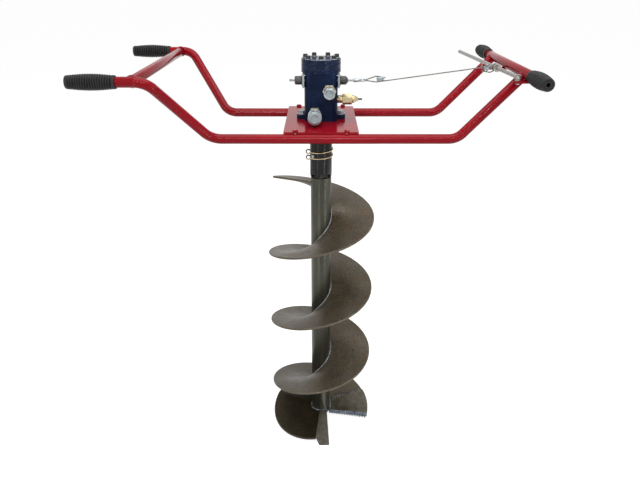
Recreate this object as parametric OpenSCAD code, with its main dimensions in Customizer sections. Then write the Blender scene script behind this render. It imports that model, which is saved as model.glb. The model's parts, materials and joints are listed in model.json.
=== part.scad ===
// Two-person hydraulic earth auger: bent tube frame, orbit motor with a built-in spool valve,
// cable throttle, and a detachable auger bit on a drive hub.
// Millimetres. The origin is on the auger axis at the level of the lowest cutter point,
// +Z is up, +X points to the lever handle and -Y to the side with the hose couplers.

/* [Frame] */
// Outside diameter of the frame tubes
tube_d = 25.4; // [22:0.1:28]
// Wall of the frame tubes
tube_wall = 2.6; // [1.6:0.1:4]
// Distance between the two long tubes, centre to centre
tube_spread = 323; // [305:1:345]
// Height of the long tubes' centre line
tube_z = 1014.5; // [990:0.5:1040]
// Height of the handles above the long tubes, centre to centre
handle_rise = 166.5; // [150:0.5:190]
// Distance of the right lower bend from the auger axis
right_bend_x = 353; // [335:1:375]
// Distance of the left lower bend from the auger axis
left_bend_x = 285; // [265:1:305]
// Run of the sloping right ends along X
right_run = 158; // [148:1:170]
// Run of the sloping left ends along X
left_run = 122; // [110:1:140]
// How far each left end splays outward
left_splay = 128; // [115:1:140]
// Centre-line radius of the tube bends
bend_r = 48; // [40:1:60]
// Distance of the left cross tube from the auger axis
left_cross_x = 440; // [435:1:450]

/* [Grips] */
// Length of each grip
grip_len = 116; // [106:1:126]
// Rubber thickness at the ends of a grip
grip_wall = 2.8; // [2:0.1:4]
// How much a grip's radius swells at its middle
grip_swell = 3.8; // [2:0.1:6]
// Thickness of the closed end of a grip
grip_cap = 6; // [4:0.5:9]
// Number of ribs along a grip
grip_ribs = 18; // [12:1:22]
// Depth of the grooves between the ribs
rib_depth = 1.8; // [0.8:0.1:2.2]
// Length of the plain collar at each end of a grip
grip_collar = 7; // [5:0.5:10]
// Vent hole in the closed end of a grip
grip_vent_d = 9; // [6:0.5:12]
// Distance of the right grips' inner ends outside the frame tubes' lines
right_grip_out = 52.5; // [47.5:0.5:62.5]
// Distance of the left grips' inner ends from the auger axis
left_grip_x = 474; // [466:1:484]

/* [Motor plate] */
// Width of the motor plate along X
plate_w = 196; // [180:1:220]
// How far the plate reaches past the tube centre lines
plate_overhang = 4; // [3:0.5:10]
// Thickness of the motor plate
plate_t = 6; // [5:0.5:8]
// Distance of the plate bolts from the auger axis along X
plate_bolt_x = 67; // [60:0.5:75]
// Diameter of the plate bolts
plate_bolt_d = 8; // [6:0.5:10]

/* [Motor] */
// Spacing of the two flange bolts
flange_spacing = 106.4; // [104:0.1:110]
// Diameter of the flange bolts
flange_bolt_d = 12; // [10:0.5:13]
// Thickness of the mounting flange
flange_t = 12; // [10:0.5:16]
// Radius of the ears round the flange bolts
flange_ear_r = 15; // [13:0.5:18]
// Diameter of the pilot that centres the motor in the plate
pilot_d = 82.5; // [80:0.5:84]
// Width of the motor housing along X
housing_w = 91; // [89:0.5:96]
// Depth of the motor housing along Y
housing_l = 91; // [89:0.5:96]
// Height of the square part of the housing
housing_h = 129; // [126:0.5:137]
// Corner radius of the housing
housing_corner = 14; // [10:0.5:18]
// Diameter of the round head stack
head_d = 108; // [107:0.5:114]
// Thickness of the housing's round head
head_t = 10; // [9:0.5:13]
// Thickness of the wear plate
wear_t = 5; // [4:0.5:7]
// Thickness of the rotor ring
ring_t = 12; // [10:0.5:15]
// Thickness of the end cover
cover_t = 8; // [7:0.5:10]
// Circle of the cover bolts, as a radius
cover_bolt_r = 44; // [43.5:0.1:45]
// Diameter of the cover bolts
cover_bolt_d = 8; // [7:0.5:8.5]
// Radius of the circle on which the ring rollers sit
roller_circle_r = 35; // [34:0.1:35.5]
// Radius of each ring roller
roller_r = 6; // [5.5:0.1:6.2]
// Distance of the star's centre from the auger axis
star_offset = 2.8; // [2.4:0.1:3]
// Radius of the output shaft
shaft_r = 12.7; // [12:0.1:13.5]
// Radius of the shaft's bearing journal
journal_r = 15; // [14.5:0.1:16]
// Outside radius of the bearing
bearing_r = 26; // [24:0.5:28]
// Length of shaft below the plate's top face
shaft_drop = 60; // [55:1:66]

/* [Valve] */
// Distance of the valve spool in front of the auger axis
spool_fwd = 32; // [31:0.1:33]
// Depth of the spool below the top of the housing's square part
spool_drop = 19; // [17:0.5:23]
// Radius of the spool's lands
spool_r = 8; // [7:0.1:8.2]
// Radius of the thin rods at the spool's ends
spool_rod_r = 3; // [2.5:0.1:3.5]
// Thickness of the plates over the spool bore
end_plate_t = 5; // [4:0.5:6]
// Length of the spring cap
spring_cap_len = 21; // [20:0.5:24]
// Outside radius of the spring cap and of the boot
spool_cap_r = 11.5; // [11:0.1:12.5]
// Length of the boot on the cable side
boot_len = 22; // [18:0.5:26]
// Height of the relief valve above the plate
relief_up = 59; // [57:0.5:61]
// Distance of the relief valve in front of the auger axis
relief_fwd = 30; // [28:0.5:31]

/* [Couplers] */
// Sideways place of the return port, left of the auger axis
return_x = 17; // [14:0.5:19]
// Height of the return port above the plate
return_up = 25.5; // [24:0.5:28]
// Sideways place of the pressure port, right of the auger axis
pressure_x = 22; // [20:0.5:26]
// Height of the pressure port above the plate
pressure_up = 86; // [83:0.5:88]
// Width across the flats of the adapter hexes
adapter_af = 32; // [30:0.5:34]
// Length of the socket coupler
socket_len = 56; // [54:0.5:64]
// Length of the plug coupler
plug_len = 40; // [38:0.5:48]
// Outside radius of the sliding sleeve
sleeve_r = 18.5; // [18.3:0.1:19.5]
// Outside radius of the plug coupler
plug_r = 15; // [14.5:0.1:16.5]
// Travel of the sliding sleeve
sleeve_travel = 6; // [4:0.5:7]
// Travel of the coupler poppets
poppet_travel = 5; // [4:0.5:6]

/* [Throttle] */
// Diameter of the lever bar
bar_d = 10; // [8:0.5:12]
// Distance of the lever pivot in front of the front frame tube's line
pivot_out = 32.5; // [26.5:0.5:33.5]
// Clear space between the lever eye and the handle tube
pivot_gap = 6; // [5:0.1:8]
// Length of the lever bar from its pivot to its free end
bar_len = 510; // [490:1:530]
// Angle of the lever bar away from the handle tube at rest
bar_angle = 4.4; // [4:0.1:5]
// Diameter of the throttle cable
cable_d = 3.2; // [2.5:0.1:4]

/* [Drive hub] */
// Outside diameter of the drive hub
hub_d = 63.5; // [62:0.1:68]
// Length of the drive hub
hub_len = 158; // [150:1:165]
// Gap between the plate's underside and the hub
hub_gap = 6; // [4:0.5:10]
// Radius of the socket for the auger's stub
socket_r = 23; // [21:0.1:24]
// Height of the lock pin above the hub's lower end
pin_up = 65; // [58:1:72]
// Diameter of the lock pin
pin_d = 9; // [7:0.5:10]
// Wire diameter of the lock ring
wire_d = 3.5; // [2.5:0.1:4]
// Rise of the lock ring in one turn
wire_pitch = 17; // [16:0.5:20]

/* [Auger bit] */
// Outside diameter of the auger pipe
pipe_d = 60.3; // [56:0.1:62]
// Wall of the auger pipe
pipe_wall = 5; // [3.5:0.1:7]
// Lower end of the auger pipe
pipe_bottom = 18; // [15:0.5:22]
// Diameter of the flight
flight_d = 320; // [305:1:335]
// Pitch of the flight
flight_pitch = 235.5; // [225:0.5:245]
// Thickness of the flight, measured upright
flight_t = 6.5; // [5:0.1:9]
// Height at which the flight's winding line passes the left side, near its upper end
flight_top_z = 854.5; // [845:0.5:860]
// How far the flight stops short of that point, in degrees
flight_short = 24; // [10:1:40]
// Thickness of the cutters, measured upright
cutter_t = 10; // [8:0.5:13]
// How far the cutters reach past the flight's radius
cutter_reach = 3; // [1:0.5:5]

/* [Hidden] */
$fn = 64;

// Named clearances
weld_gap = 0.1;
press_gap = 0.02;
run_gap = 0.04;
thread_gap = 0.05;
hole_gap = 0.25;
slide_gap = 0.3;
overlap = 1;
bend_step = 0.05;

// Frame places
tube_r = tube_d / 2;
side_y = tube_spread / 2;
right_grip_y = side_y + right_grip_out;
handle_z = tube_z + handle_rise;
right_x = right_bend_x + right_run;
left_top_x = -left_bend_x - left_run;
left_y = side_y + left_splay;
left_end_x = -left_grip_x - grip_len + grip_cap;
right_half = right_grip_y + grip_len - grip_cap;
deck_z = tube_z + tube_r;
plate_z = deck_z + plate_t;

// Heights in the motor, above the plate's top face
head_up = housing_h + head_t;
ring_up = head_up + wear_t;
cover_up = ring_up + ring_t;
stack_up = cover_up + cover_t;
seal_t = 12;
seal_r = 22;
bearing_up = seal_t - plate_t + 2;
bearing_t = 18;
cavity_r = 20;
barrel_r = cavity_r - 1;
barrel_top = 80;
link_socket_r = 11;
link_depth = 30;
housing_front = -housing_l / 2;
side_x = housing_w / 2;
rollers = 7;
cover_bolt_phase = 270;
roller_phase = cover_bolt_phase + 180 / rollers;
ring_slack = 0.4;
star_gap = 0.1;
star_bore_r = link_socket_r;
star_clear = 0.05;
link_r = 7;
link_end_r = link_socket_r - 0.7;
link_end_len = 10;

// Valve places
spool_z = plate_z + housing_h - spool_drop;
relief_z = plate_z + relief_up;
spool_travel = 8.6;
spool_end_left = 86;
spool_end_right = 100;
collar_r = spool_cap_r - 3;
collar_t = 3;
cap_wall = 2;
spring_wire = 1.2;
plate_screw_d = 4;
plate_screw_head_r = 0.9 * plate_screw_d;
plate_screw_lean = 27;
plate_screw_r = spool_cap_r + plate_screw_head_r + slide_gap;
end_plate_margin = 0.7;
end_plate_side = 2 * (plate_screw_r * cos(plate_screw_lean) + plate_screw_head_r + end_plate_margin);
relief_thread_r = 8;
relief_depth = 20;
relief_neck_r = 10.5;
relief_neck_len = 13;
relief_hex_len = 26;
relief_hex_af = 26;
relief_cone_len = 17;
relief_bore_r = 5;
relief_stem_r = 2.4;
relief_stem_out = 11;

// Port and coupler places, measured along -Y from the boss face
boss_t = 4;
boss_r = 19;
port_r = 9;
port_depth = 12;
boss_y = housing_front - boss_t;
adapter_neck = 9;
adapter_neck_r = 12;
adapter_hex = 12;
coupler_y = boss_y - adapter_neck - adapter_hex;
flow_r = 4;
body_r = 15;
coupler_bore_r = 10;
coupler_wall = 5;
collar_at = 22;
collar_w = 4;
spring_room = 1.6;
coupler_wire = 1.6;
sleeve_wire = 0.8;
sleeve_turns = 4;
sleeve_spare = 6;
sleeve_shoulder = collar_at + collar_w + sleeve_travel + (sleeve_turns + 1) * sleeve_wire + sleeve_spare;
sleeve_back = collar_at + collar_w + 2;
sleeve_front = socket_len - 2;
poppet_recess = 1;
poppet_turns = 4;
poppet_spare = 6;
poppet_closed = (poppet_turns + 1) * coupler_wire + poppet_spare;
poppet_len = plug_len - poppet_recess - coupler_wall - poppet_travel - poppet_closed;

// Lever and cable places
pivot_x = right_x - tube_r - pivot_gap - bar_d;
pivot_fwd = side_y + pivot_out;
pivot_y = -pivot_fwd;
lever_lift = 3.6;
lever_z = handle_z - tube_r + lever_lift + bar_d / 2;
pivot_bolt_d = 6;
lever_eye_t = bar_d - 0.6;
lever_eye_r = 0.75 * bar_d;
tab_t = 5;
tab_w = 24;
guide_y = 24;
guide_w = 22;
guide_t = 4;
bar_dir = [-sin(bar_angle), cos(bar_angle), 0];
bar_at_cable_x = pivot_x - (pivot_fwd - spool_fwd) * tan(bar_angle);
loop_along = (pivot_fwd - spool_fwd) / cos(bar_angle);
stop_gap = 5;
stop_w = 8;
stop_d = 2 * bar_d;
eye_r = 9;
eye_wire = 5;
eye_x = spool_end_right + 12;
cable_gap = 0.4;
loop_x = eye_x + eye_r - eye_wire / 2 - cable_d / 2 - cable_gap;
cable_vec = [bar_at_cable_x - loop_x, 0, lever_z - spool_z];
cable_slope = atan2(cable_vec.z, cable_vec.x);
loop_end = norm(cable_vec) + bar_d / 2 + cable_d / 2 + cable_gap;
loop_r = bar_d / 2 + cable_d / 2 + cable_gap;
loop_half = loop_r * 1.35;
lever_loop_half = loop_r * 1.86;
loop_taper = 34;
clip_taper = 24;
ferrule_len = 20;
clip_len = 14;
strand_step = cable_d + 0.2;
clip_rod = 4;
clip_rise = 8;
clip_nut_af = 7;
clip_nut_t = 3.4;

// Hub and bit places
hub_top = deck_z - hub_gap;
hub_bottom = hub_top - hub_len;
shaft_end = plate_z - shaft_drop;
hub_web = 8;
hub_notches = 8;
notch_w = 13.5;
notch_h = 10;
hub_chamfer = 3;
hub_bolt_d = 10;
socket_top = shaft_end - hub_web;
pin_z = hub_bottom + pin_up;
pin_angle = 228;
pin_head_d = 10;
pin_head_t = 4;
pin_inset = 1.5;
stub_r = socket_r - run_gap;
stub_top = socket_top - 14;
pipe_top = hub_bottom - 2;
pipe_plug = 20;
pipe_r = pipe_d / 2;
flight_r = flight_d / 2;
flight_step = 10;
flight_in_r = (pipe_r + weld_gap) / cos(flight_step / 2);
flight_passes = 3;
cutter_start = 24;
cutter_end = -17;
cutter_skew = 21;
cutter_gap = 0.3;
cutter_in_r = pipe_r + 4;
lower_z = 32;
lower_from = 96;
lower_to = 264;
lower_mid = 222;
lower_rim_z = 10;
lower_rim_high = 40;
lower_bow = 0.0073;
blade_in_z = 8;
blade_in_h = 32;
blade_in_x = [-2.5, 20];
blade_out_x = [-16.4, 27];
blade_out_h = [30, 10];
blade_foot_x = -5;

// Wire ring places
wire_r = hub_d / 2 + wire_d / 2 + slide_gap;
wire_step = 15;
wire_turns = 2;
wire_start = 20;
wire_pin_z = pin_z - pin_head_d / 2 - wire_d / 2 - slide_gap;
curl_r = 4.5;
curl_at = 180;
curl_half = 22;

// Colours
frame_red = [0.78, 0.09, 0.13];
grip_black = [0.16, 0.16, 0.17];
motor_navy = [0.09, 0.11, 0.16];
bolt_black = [0.07, 0.07, 0.08];
zinc = [0.72, 0.74, 0.76];
yellow_zinc = [0.78, 0.70, 0.42];
steel = [0.60, 0.61, 0.60];
hub_black = [0.20, 0.20, 0.21];
flight_grey = [0.47, 0.45, 0.41];
rubber_grey = [0.24, 0.22, 0.20];

// Vectors and angles
function unit(v) = v / norm(v);
function turn_at(p, i) = acos(unit(p[i] - p[i - 1]) * unit(p[i + 1] - p[i]));
function is_corner(p, i) = i > 0 && i < len(p) - 1;
function setback(p, r, i) = r * tan(turn_at(p, i) / 2);

// A straight round bar between two points
module rod(from, to, d) {
    v = to - from;
    translate(from) rotate([0, acos(v.z / norm(v)), atan2(v.y, v.x)]) cylinder(d = d, h = norm(v));
}

// A round bend at a corner, from direction u to direction v
module elbow(corner, u, v, r, d) {
    angle = acos(u * v);
    n = unit(v - (u * v) * u);
    w = cross(u, n);
    c = corner - u * r * tan(angle / 2) + n * r;
    multmatrix([[-n.x, u.x, w.x, c.x], [-n.y, u.y, w.y, c.y], [-n.z, u.z, w.z, c.z], [0, 0, 0, 1]])
        rotate_extrude(angle = angle) translate([r, 0]) circle(d = d);
}

// A round bar along a line of corners, all bent to one radius. The bends are a hair thicker than the
// straights, which run on into them.
module bent_bar(p, r, d) {
    run_in = 0.6 * sqrt(2 * r * bend_step);
    for (i = [1 : len(p) - 1]) {
        u = unit(p[i] - p[i - 1]);
        back = is_corner(p, i - 1) ? setback(p, r, i - 1) - run_in : 0;
        ahead = is_corner(p, i) ? setback(p, r, i) - run_in : 0;
        rod(p[i - 1] + u * back, p[i] - u * ahead, d);
        if (is_corner(p, i)) elbow(p[i], u, unit(p[i + 1] - p[i]), r, d + 2 * bend_step);
    }
}

// A straight tube between two points
module straight_tube(from, to, d, wall) {
    along = overlap * unit(to - from);
    difference() {
        rod(from, to, d);
        rod(from - along, to + along, d - 2 * wall);
    }
}

// Puts a shape built along +Z so that it runs along +X, -X or -Y from a point
module along_x(p) { translate(p) rotate([0, 90, 0]) children(); }
module along_minus_x(p) { translate(p) rotate([0, -90, 0]) children(); }
module along_minus_y(p) { translate(p) rotate([90, 0, 0]) children(); }

// A turned shape from its half profile
module turned(profile) { rotate_extrude() polygon(profile); }

// A ring with a straight bore
module ring(r_in, r_out, h) {
    difference() {
        cylinder(r = r_out, h = h);
        translate([0, 0, -overlap]) cylinder(r = r_in, h = h + 2 * overlap);
    }
}

module hexagon(af, h) { cylinder(d = af / cos(30), h = h, $fn = 6); }

// A box with four upright rounded edges, centred on its base
module rounded_box(w, l, h, r) {
    translate([-w / 2, -l / 2 + r, 0]) cube([w, l - 2 * r, h]);
    translate([-w / 2 + r, -l / 2, 0]) cube([w - 2 * r, l, h]);
    for (x = [-1, 1], y = [-1, 1]) translate([x * (w / 2 - r), y * (l / 2 - r), 0]) cylinder(r = r, h = h);
}

// A tube swept along points that never run straight up, with flat ends
module swept(p, r, sides) {
    n = len(p);
    rings = [for (i = [0 : n - 1])
        let (t = unit(p[min(i + 1, n - 1)] - p[max(i - 1, 0)]))
        let (a = unit(cross(t, [0, 0, 1])), b = cross(a, t))
        for (k = [0 : sides - 1]) p[i] + r * (a * cos(360 * k / sides) + b * sin(360 * k / sides))];
    walls = [for (i = [0 : n - 2], k = [0 : sides - 1])
        let (m = (k + 1) % sides, low = i * sides, up = low + sides)
        each [[low + k, low + m, up + m], [low + k, up + m, up + k]]];
    first_cap = [for (k = [1 : sides - 2]) [0, k + 1, k]];
    last = (n - 1) * sides;
    last_cap = [for (k = [1 : sides - 2]) [last, last + k, last + k + 1]];
    polyhedron(points = rings, faces = [for (f = concat(walls, first_cap, last_cap)) [f[0], f[2], f[1]]]);
}

// The least distance between strands of one wire, less its diameter
function self_gap(p, d, skip) =
    min([for (i = [0 : len(p) - 1]) for (j = [i + skip : 1 : len(p) - 1]) norm(p[i] - p[j])]) - d;

// A compression spring along +Z with a closed form between two heights
spring_steps = 10;
function spring_points(r, length, turns, wire) =
    [for (i = [0 : turns * spring_steps])
        let (a = 360 * i / spring_steps)
        [r * cos(a), r * sin(a), wire / 2 + (length - wire) * i / (turns * spring_steps)]];
module spring(r, length, turns, wire) { swept(spring_points(r, length, turns, wire), wire / 2, 6); }

// A strip that winds round the axis: each row is [angle, height at its inner edge, height at its outer edge]
// and may have a fourth value, an angle of its own for the outer edge
module winding_strip(rows, r_in, r_out, t) {
    n = len(rows);
    function at(r, a, z) = [r * cos(a), r * sin(a), z];
    function outer_a(w) = len(w) > 3 ? w[3] : w[0];
    points = [for (w = rows) each [at(r_in, w[0], w[1] + t / 2), at(r_out, outer_a(w), w[2] + t / 2),
        at(r_out, outer_a(w), w[2] - t / 2), at(r_in, w[0], w[1] - t / 2)]];
    walls = [for (i = [0 : n - 2], k = [0 : 3])
        let (m = (k + 1) % 4, low = 4 * i, up = low + 4)
        each [[low + k, low + m, up + m], [low + k, up + m, up + k]]];
    last = 4 * (n - 1);
    ends = [[0, 2, 1], [0, 3, 2], [last, last + 1, last + 2], [last, last + 2, last + 3]];
    polyhedron(points = points, faces = [for (f = concat(walls, ends)) [f[0], f[2], f[1]]]);
}

// A socket-head bolt hanging from its head's underside, with a washer under the head
module cap_bolt(d, length, washer_t) {
    head_r = 0.8 * d;
    difference() {
        translate([0, 0, washer_t]) cylinder(r = head_r, h = d);
        translate([0, 0, washer_t + d / 2]) hexagon(0.75 * d, d);
    }
    translate([0, 0, -length]) cylinder(d = d, h = length + washer_t);
    ring(d / 2 + thread_gap, head_r + 2.2, washer_t);
}

// A hexagon bolt hanging from its head's underside
module hex_bolt(d, af, length) {
    hexagon(af, 0.65 * d);
    translate([0, 0, -length]) cylinder(d = d, h = length + overlap);
}

module nut(d, af, t) {
    difference() {
        hexagon(af, t);
        translate([0, 0, -overlap]) cylinder(d = d + 2 * thread_gap, h = t + 2 * overlap);
    }
}

// Frame

function frame_path(side, past_end = 0) = [
    [right_x, side * side_y, handle_z],
    [right_bend_x, side * side_y, tube_z],
    [-left_bend_x, side * side_y, tube_z],
    [left_top_x, side * left_y, handle_z],
    [left_end_x - past_end, side * left_y, handle_z]
];

module right_tube_solid(gap) {
    along_minus_y([right_x, right_half, handle_z]) cylinder(r = tube_r + gap, h = 2 * right_half);
}

module plate_bolt_places() {
    for (x = [-1, 1], y = [-1, 1]) translate([x * plate_bolt_x, y * side_y, plate_z]) children();
}

module front_frame_tube() {
    color(frame_red) difference() {
        bent_bar(frame_path(-1), bend_r, tube_d);
        bent_bar(frame_path(-1, overlap), bend_r, tube_d - 2 * tube_wall);
        right_tube_solid(weld_gap);
        for (x = [-1, 1])
            translate([x * plate_bolt_x, -side_y, tube_z])
                cylinder(d = plate_bolt_d + 2 * thread_gap, h = tube_d);
    }
}

module rear_frame_tube() { mirror([0, 1, 0]) front_frame_tube(); }

module left_cross_tube() {
    front = [-left_cross_x, -left_y, handle_z];
    color(frame_red) difference() {
        straight_tube(front, front + [0, 2 * left_y, 0], tube_d, tube_wall);
        for (side = [-1, 1]) bent_bar(frame_path(side), bend_r, tube_d + 2 * weld_gap);
    }
}

module right_cross_tube() {
    color(frame_red)
        straight_tube([right_x, -right_half, handle_z], [right_x, right_half, handle_z], tube_d, tube_wall);
}

// Half profile of a grip, ribs and all, from its open end to its closed end
function grip_radius(z) = tube_r + grip_wall + grip_swell * sin(180 * z / grip_len);
grip_bore_r = tube_r + press_gap;
rib_pitch = (grip_len - 2 * grip_collar) / grip_ribs;
grip_profile = concat(
    [[grip_bore_r, 0], [grip_radius(0), 0]],
    [for (i = [0 : grip_ribs - 1], s = [0, 0.35, 0.5, 0.85])
        let (z = grip_collar + rib_pitch * (i + s))
        [grip_radius(z) - (s < 0.4 ? 0 : rib_depth), z]],
    [[grip_radius(grip_len - grip_collar), grip_len - grip_collar], [grip_radius(grip_len), grip_len - 1.5],
        [grip_radius(grip_len) - 1.5, grip_len], [grip_vent_d / 2, grip_len],
        [grip_vent_d / 2, grip_len - grip_cap], [grip_bore_r, grip_len - grip_cap]]
);

module grip() { color(grip_black) turned(grip_profile); }
module right_front_grip() { along_minus_y([right_x, -right_grip_y, handle_z]) grip(); }
module right_rear_grip() { mirror([0, 1, 0]) right_front_grip(); }
module left_front_grip() { along_minus_x([-left_grip_x, -left_y, handle_z]) grip(); }
module left_rear_grip() { mirror([0, 1, 0]) left_front_grip(); }

module flange_bolt_places(z) {
    for (x = [-1, 1]) translate([x * flange_spacing / 2, 0, z]) children();
}

module motor_plate() {
    plate_l = tube_spread + 2 * plate_overhang;
    plate_corner = 5;
    color(frame_red) difference() {
        translate([0, 0, deck_z]) rounded_box(plate_w, plate_l, plate_t, plate_corner);
        translate([0, 0, deck_z - overlap]) cylinder(d = pilot_d + 2 * press_gap, h = plate_t + 2 * overlap);
        flange_bolt_places(deck_z - overlap)
            cylinder(d = flange_bolt_d + 2 * hole_gap, h = plate_t + 2 * overlap);
        plate_bolt_places() translate([0, 0, -plate_t - overlap])
            cylinder(d = plate_bolt_d + 2 * hole_gap, h = plate_t + 2 * overlap);
    }
}

plate_bolt_af = 1.6 * plate_bolt_d;
plate_bolt_len = plate_t + tube_wall + plate_bolt_d;
module plate_bolts() {
    color(frame_red) plate_bolt_places() hex_bolt(plate_bolt_d, plate_bolt_af, plate_bolt_len);
}

// Lever mounting on the right cross tube

module lever_tab() {
    color(frame_red) translate([0, 0, handle_z - tube_r - tab_t]) difference() {
        union() {
            translate([pivot_x, pivot_y, 0]) cylinder(r = tab_w / 2, h = tab_t);
            translate([pivot_x, pivot_y - tab_w / 2, 0]) cube([right_x + tube_r / 2 - pivot_x, tab_w, tab_t]);
        }
        translate([pivot_x, pivot_y, -overlap])
            cylinder(d = pivot_bolt_d + 2 * thread_gap, h = tab_t + 2 * overlap);
    }
}

module lever_guide() {
    guide_x = pivot_x - (pivot_fwd + guide_y) * tan(bar_angle);
    reach = 2 * bar_d;
    lip = 0.8 * bar_d;
    low_x = guide_x - reach;
    color(frame_red) translate([low_x, guide_y - guide_w / 2, handle_z - tube_r - guide_t]) {
        cube([right_x + tube_r / 2 - low_x, guide_w, guide_t]);
        cube([2 * reach, guide_w, guide_t + lever_lift - slide_gap]);
        cube([guide_t, guide_w, guide_t + lever_lift + lip]);
    }
}

// The pivot bolt stands head down under the tab, with its upper end riveted over the lever's eye
module lever_pivot_bolt() {
    tab_top = handle_z - tube_r;
    head_top = tab_top - tab_t - weld_gap;
    head_t = 0.65 * pivot_bolt_d;
    rivet_z = lever_z + lever_eye_t / 2 + slide_gap;
    rivet_t = 1.5;
    spacer_t = lever_lift - weld_gap - slide_gap;
    color(zinc) translate([pivot_x, pivot_y, 0]) {
        translate([0, 0, head_top - head_t]) hexagon(1.6 * pivot_bolt_d, head_t);
        translate([0, 0, head_top - overlap])
            cylinder(d = pivot_bolt_d, h = rivet_z + rivet_t - head_top + overlap);
        translate([0, 0, rivet_z]) cylinder(r = pivot_bolt_d / 2 + 2, h = rivet_t);
        translate([0, 0, tab_top + weld_gap]) ring(pivot_bolt_d / 2 + thread_gap, lever_eye_r, spacer_t);
    }
}

// Motor

module cover_bolt_places(z) {
    for (i = [0 : rollers - 1]) rotate(cover_bolt_phase + 360 * i / rollers)
        translate([cover_bolt_r, 0, z]) children();
}

cover_bolt_len = stack_up - housing_h - 2;
module cover_bolt_holes(gap) {
    cover_bolt_places(plate_z + stack_up - cover_bolt_len - overlap)
        cylinder(d = cover_bolt_d + 2 * gap, h = cover_bolt_len + 2 * overlap);
}

module port_at(x, up, y) { along_minus_y([x, y, plate_z + up]) children(); }
module both_ports(y) {
    port_at(-return_x, return_up, y) children();
    port_at(pressure_x, pressure_up, y) children();
}

plug_places = [[-23, 78], [15, 40]];
plug_hole_r = 4;
plug_hole_depth = 7;

module end_plate_screw_places() {
    off_y = plate_screw_r * sin(plate_screw_lean);
    off_z = plate_screw_r * cos(plate_screw_lean);
    for (s = [-1, 1], k = [-1, 1])
        translate([s * (side_x + end_plate_t), -spool_fwd + k * off_y, spool_z - k * off_z])
            rotate([0, s * 90, 0]) children();
}

module motor_housing() {
    screw_depth = 8;
    boss_rise = 30;
    color(motor_navy) difference() {
        union() {
            translate([0, 0, plate_z]) {
                rounded_box(housing_w, housing_l, housing_h + overlap, housing_corner);
                translate([0, 0, housing_h]) cylinder(d = head_d, h = head_t);
                translate([-flange_spacing / 2, -flange_ear_r, 0])
                    cube([flange_spacing, 2 * flange_ear_r, flange_t]);
            }
            flange_bolt_places(plate_z) cylinder(r = flange_ear_r, h = flange_t);
            translate([0, 0, deck_z]) cylinder(d = pilot_d, h = plate_t + overlap);
            both_ports(housing_front + overlap) cylinder(r = boss_r, h = boss_t + overlap);
            port_at(-return_x, return_up + boss_rise, housing_front + overlap)
                cylinder(r = boss_r - 3, h = boss_t + overlap - 1);
        }
        translate([0, 0, deck_z - overlap]) cylinder(r = seal_r + press_gap, h = seal_t + overlap);
        translate([0, 0, deck_z]) cylinder(r = cavity_r, h = plate_t + head_up + overlap);
        translate([0, 0, plate_z + bearing_up]) cylinder(r = bearing_r + press_gap, h = bearing_t);
        translate([0, 0, plate_z + bearing_up]) cylinder(r = cavity_r, h = head_up);
        flange_bolt_places(plate_z - overlap)
            cylinder(d = flange_bolt_d + 2 * hole_gap, h = flange_t + 2 * overlap);
        flange_bolt_places(plate_z + flange_t) cylinder(r = flange_ear_r + overlap, h = flange_t);
        cover_bolt_holes(thread_gap);
        along_x([-side_x - overlap, -spool_fwd, spool_z])
            cylinder(r = spool_r + run_gap, h = housing_w + 2 * overlap);
        along_x([side_x - relief_depth, -relief_fwd, relief_z])
            cylinder(r = relief_thread_r + thread_gap, h = relief_depth + overlap);
        both_ports(boss_y + port_depth) cylinder(r = port_r + thread_gap, h = port_depth + overlap);
        for (p = plug_places) port_at(p[0], p[1], housing_front + plug_hole_depth)
            cylinder(r = plug_hole_r + thread_gap, h = plug_hole_depth + overlap);
        end_plate_screw_places() translate([0, 0, -end_plate_t - screw_depth])
            cylinder(d = plate_screw_d + 2 * thread_gap, h = screw_depth + overlap);
    }
}

module wear_plate() {
    color(motor_navy) difference() {
        translate([0, 0, plate_z + head_up]) ring(link_r + 2 * star_offset, head_d / 2, wear_t);
        cover_bolt_holes(hole_gap);
    }
}

module roller_places(z) {
    rotate(roller_phase) for (i = [0 : rollers - 1]) rotate(360 * i / rollers)
        translate([roller_circle_r, 0, z]) children();
}

module rotor_ring() {
    color(motor_navy) difference() {
        translate([0, 0, plate_z + ring_up]) ring(roller_circle_r + ring_slack, head_d / 2, ring_t);
        roller_places(plate_z + ring_up - overlap)
            cylinder(r = roller_r + press_gap, h = ring_t + 2 * overlap);
        cover_bolt_holes(hole_gap);
    }
}

module ring_rollers() {
    color(steel) roller_places(plate_z + ring_up + star_clear)
        cylinder(r = roller_r, h = ring_t - 2 * star_clear);
}

// The star's flank keeps one gap to every roller through the whole orbit
star_lobes = rollers - 1;
star_steps = 26 * star_lobes;
function roller_path(a) =
    roller_circle_r * [cos(a), sin(a)] - star_offset * [cos(rollers * a), sin(rollers * a)];
function path_heading(a) =
    unit(roller_circle_r * [-sin(a), cos(a)] - rollers * star_offset * [-sin(rollers * a), cos(rollers * a)]);
function star_point(a) =
    let (h = path_heading(a)) roller_path(a) + (roller_r + star_gap) * [-h.y, h.x];

module rotor_star() {
    star_z = plate_z + ring_up + star_clear;
    color(steel) rotate(roller_phase) translate([star_offset, 0, star_z]) difference() {
        linear_extrude(ring_t - 2 * star_clear)
            polygon([for (i = [0 : star_steps - 1]) star_point(360 * i / star_steps)]);
        translate([0, 0, -overlap]) cylinder(r = star_bore_r, h = ring_t + 2 * overlap);
    }
}

// The link runs from the shaft's socket to the star's bore, so it leans by the star's offset
module drive_link() {
    low_z = barrel_top - link_depth + link_end_len / 2 + slide_gap;
    high_z = ring_up + ring_t / 2;
    lean = atan2(star_offset, high_z - low_z);
    run = norm([star_offset, high_z - low_z]);
    color(steel) rotate(roller_phase) translate([0, 0, plate_z + low_z]) rotate([0, lean, 0]) {
        cylinder(r = link_r, h = run);
        for (z = [0, run]) translate([0, 0, z - link_end_len / 2]) cylinder(r = link_end_r, h = link_end_len);
    }
}

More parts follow.
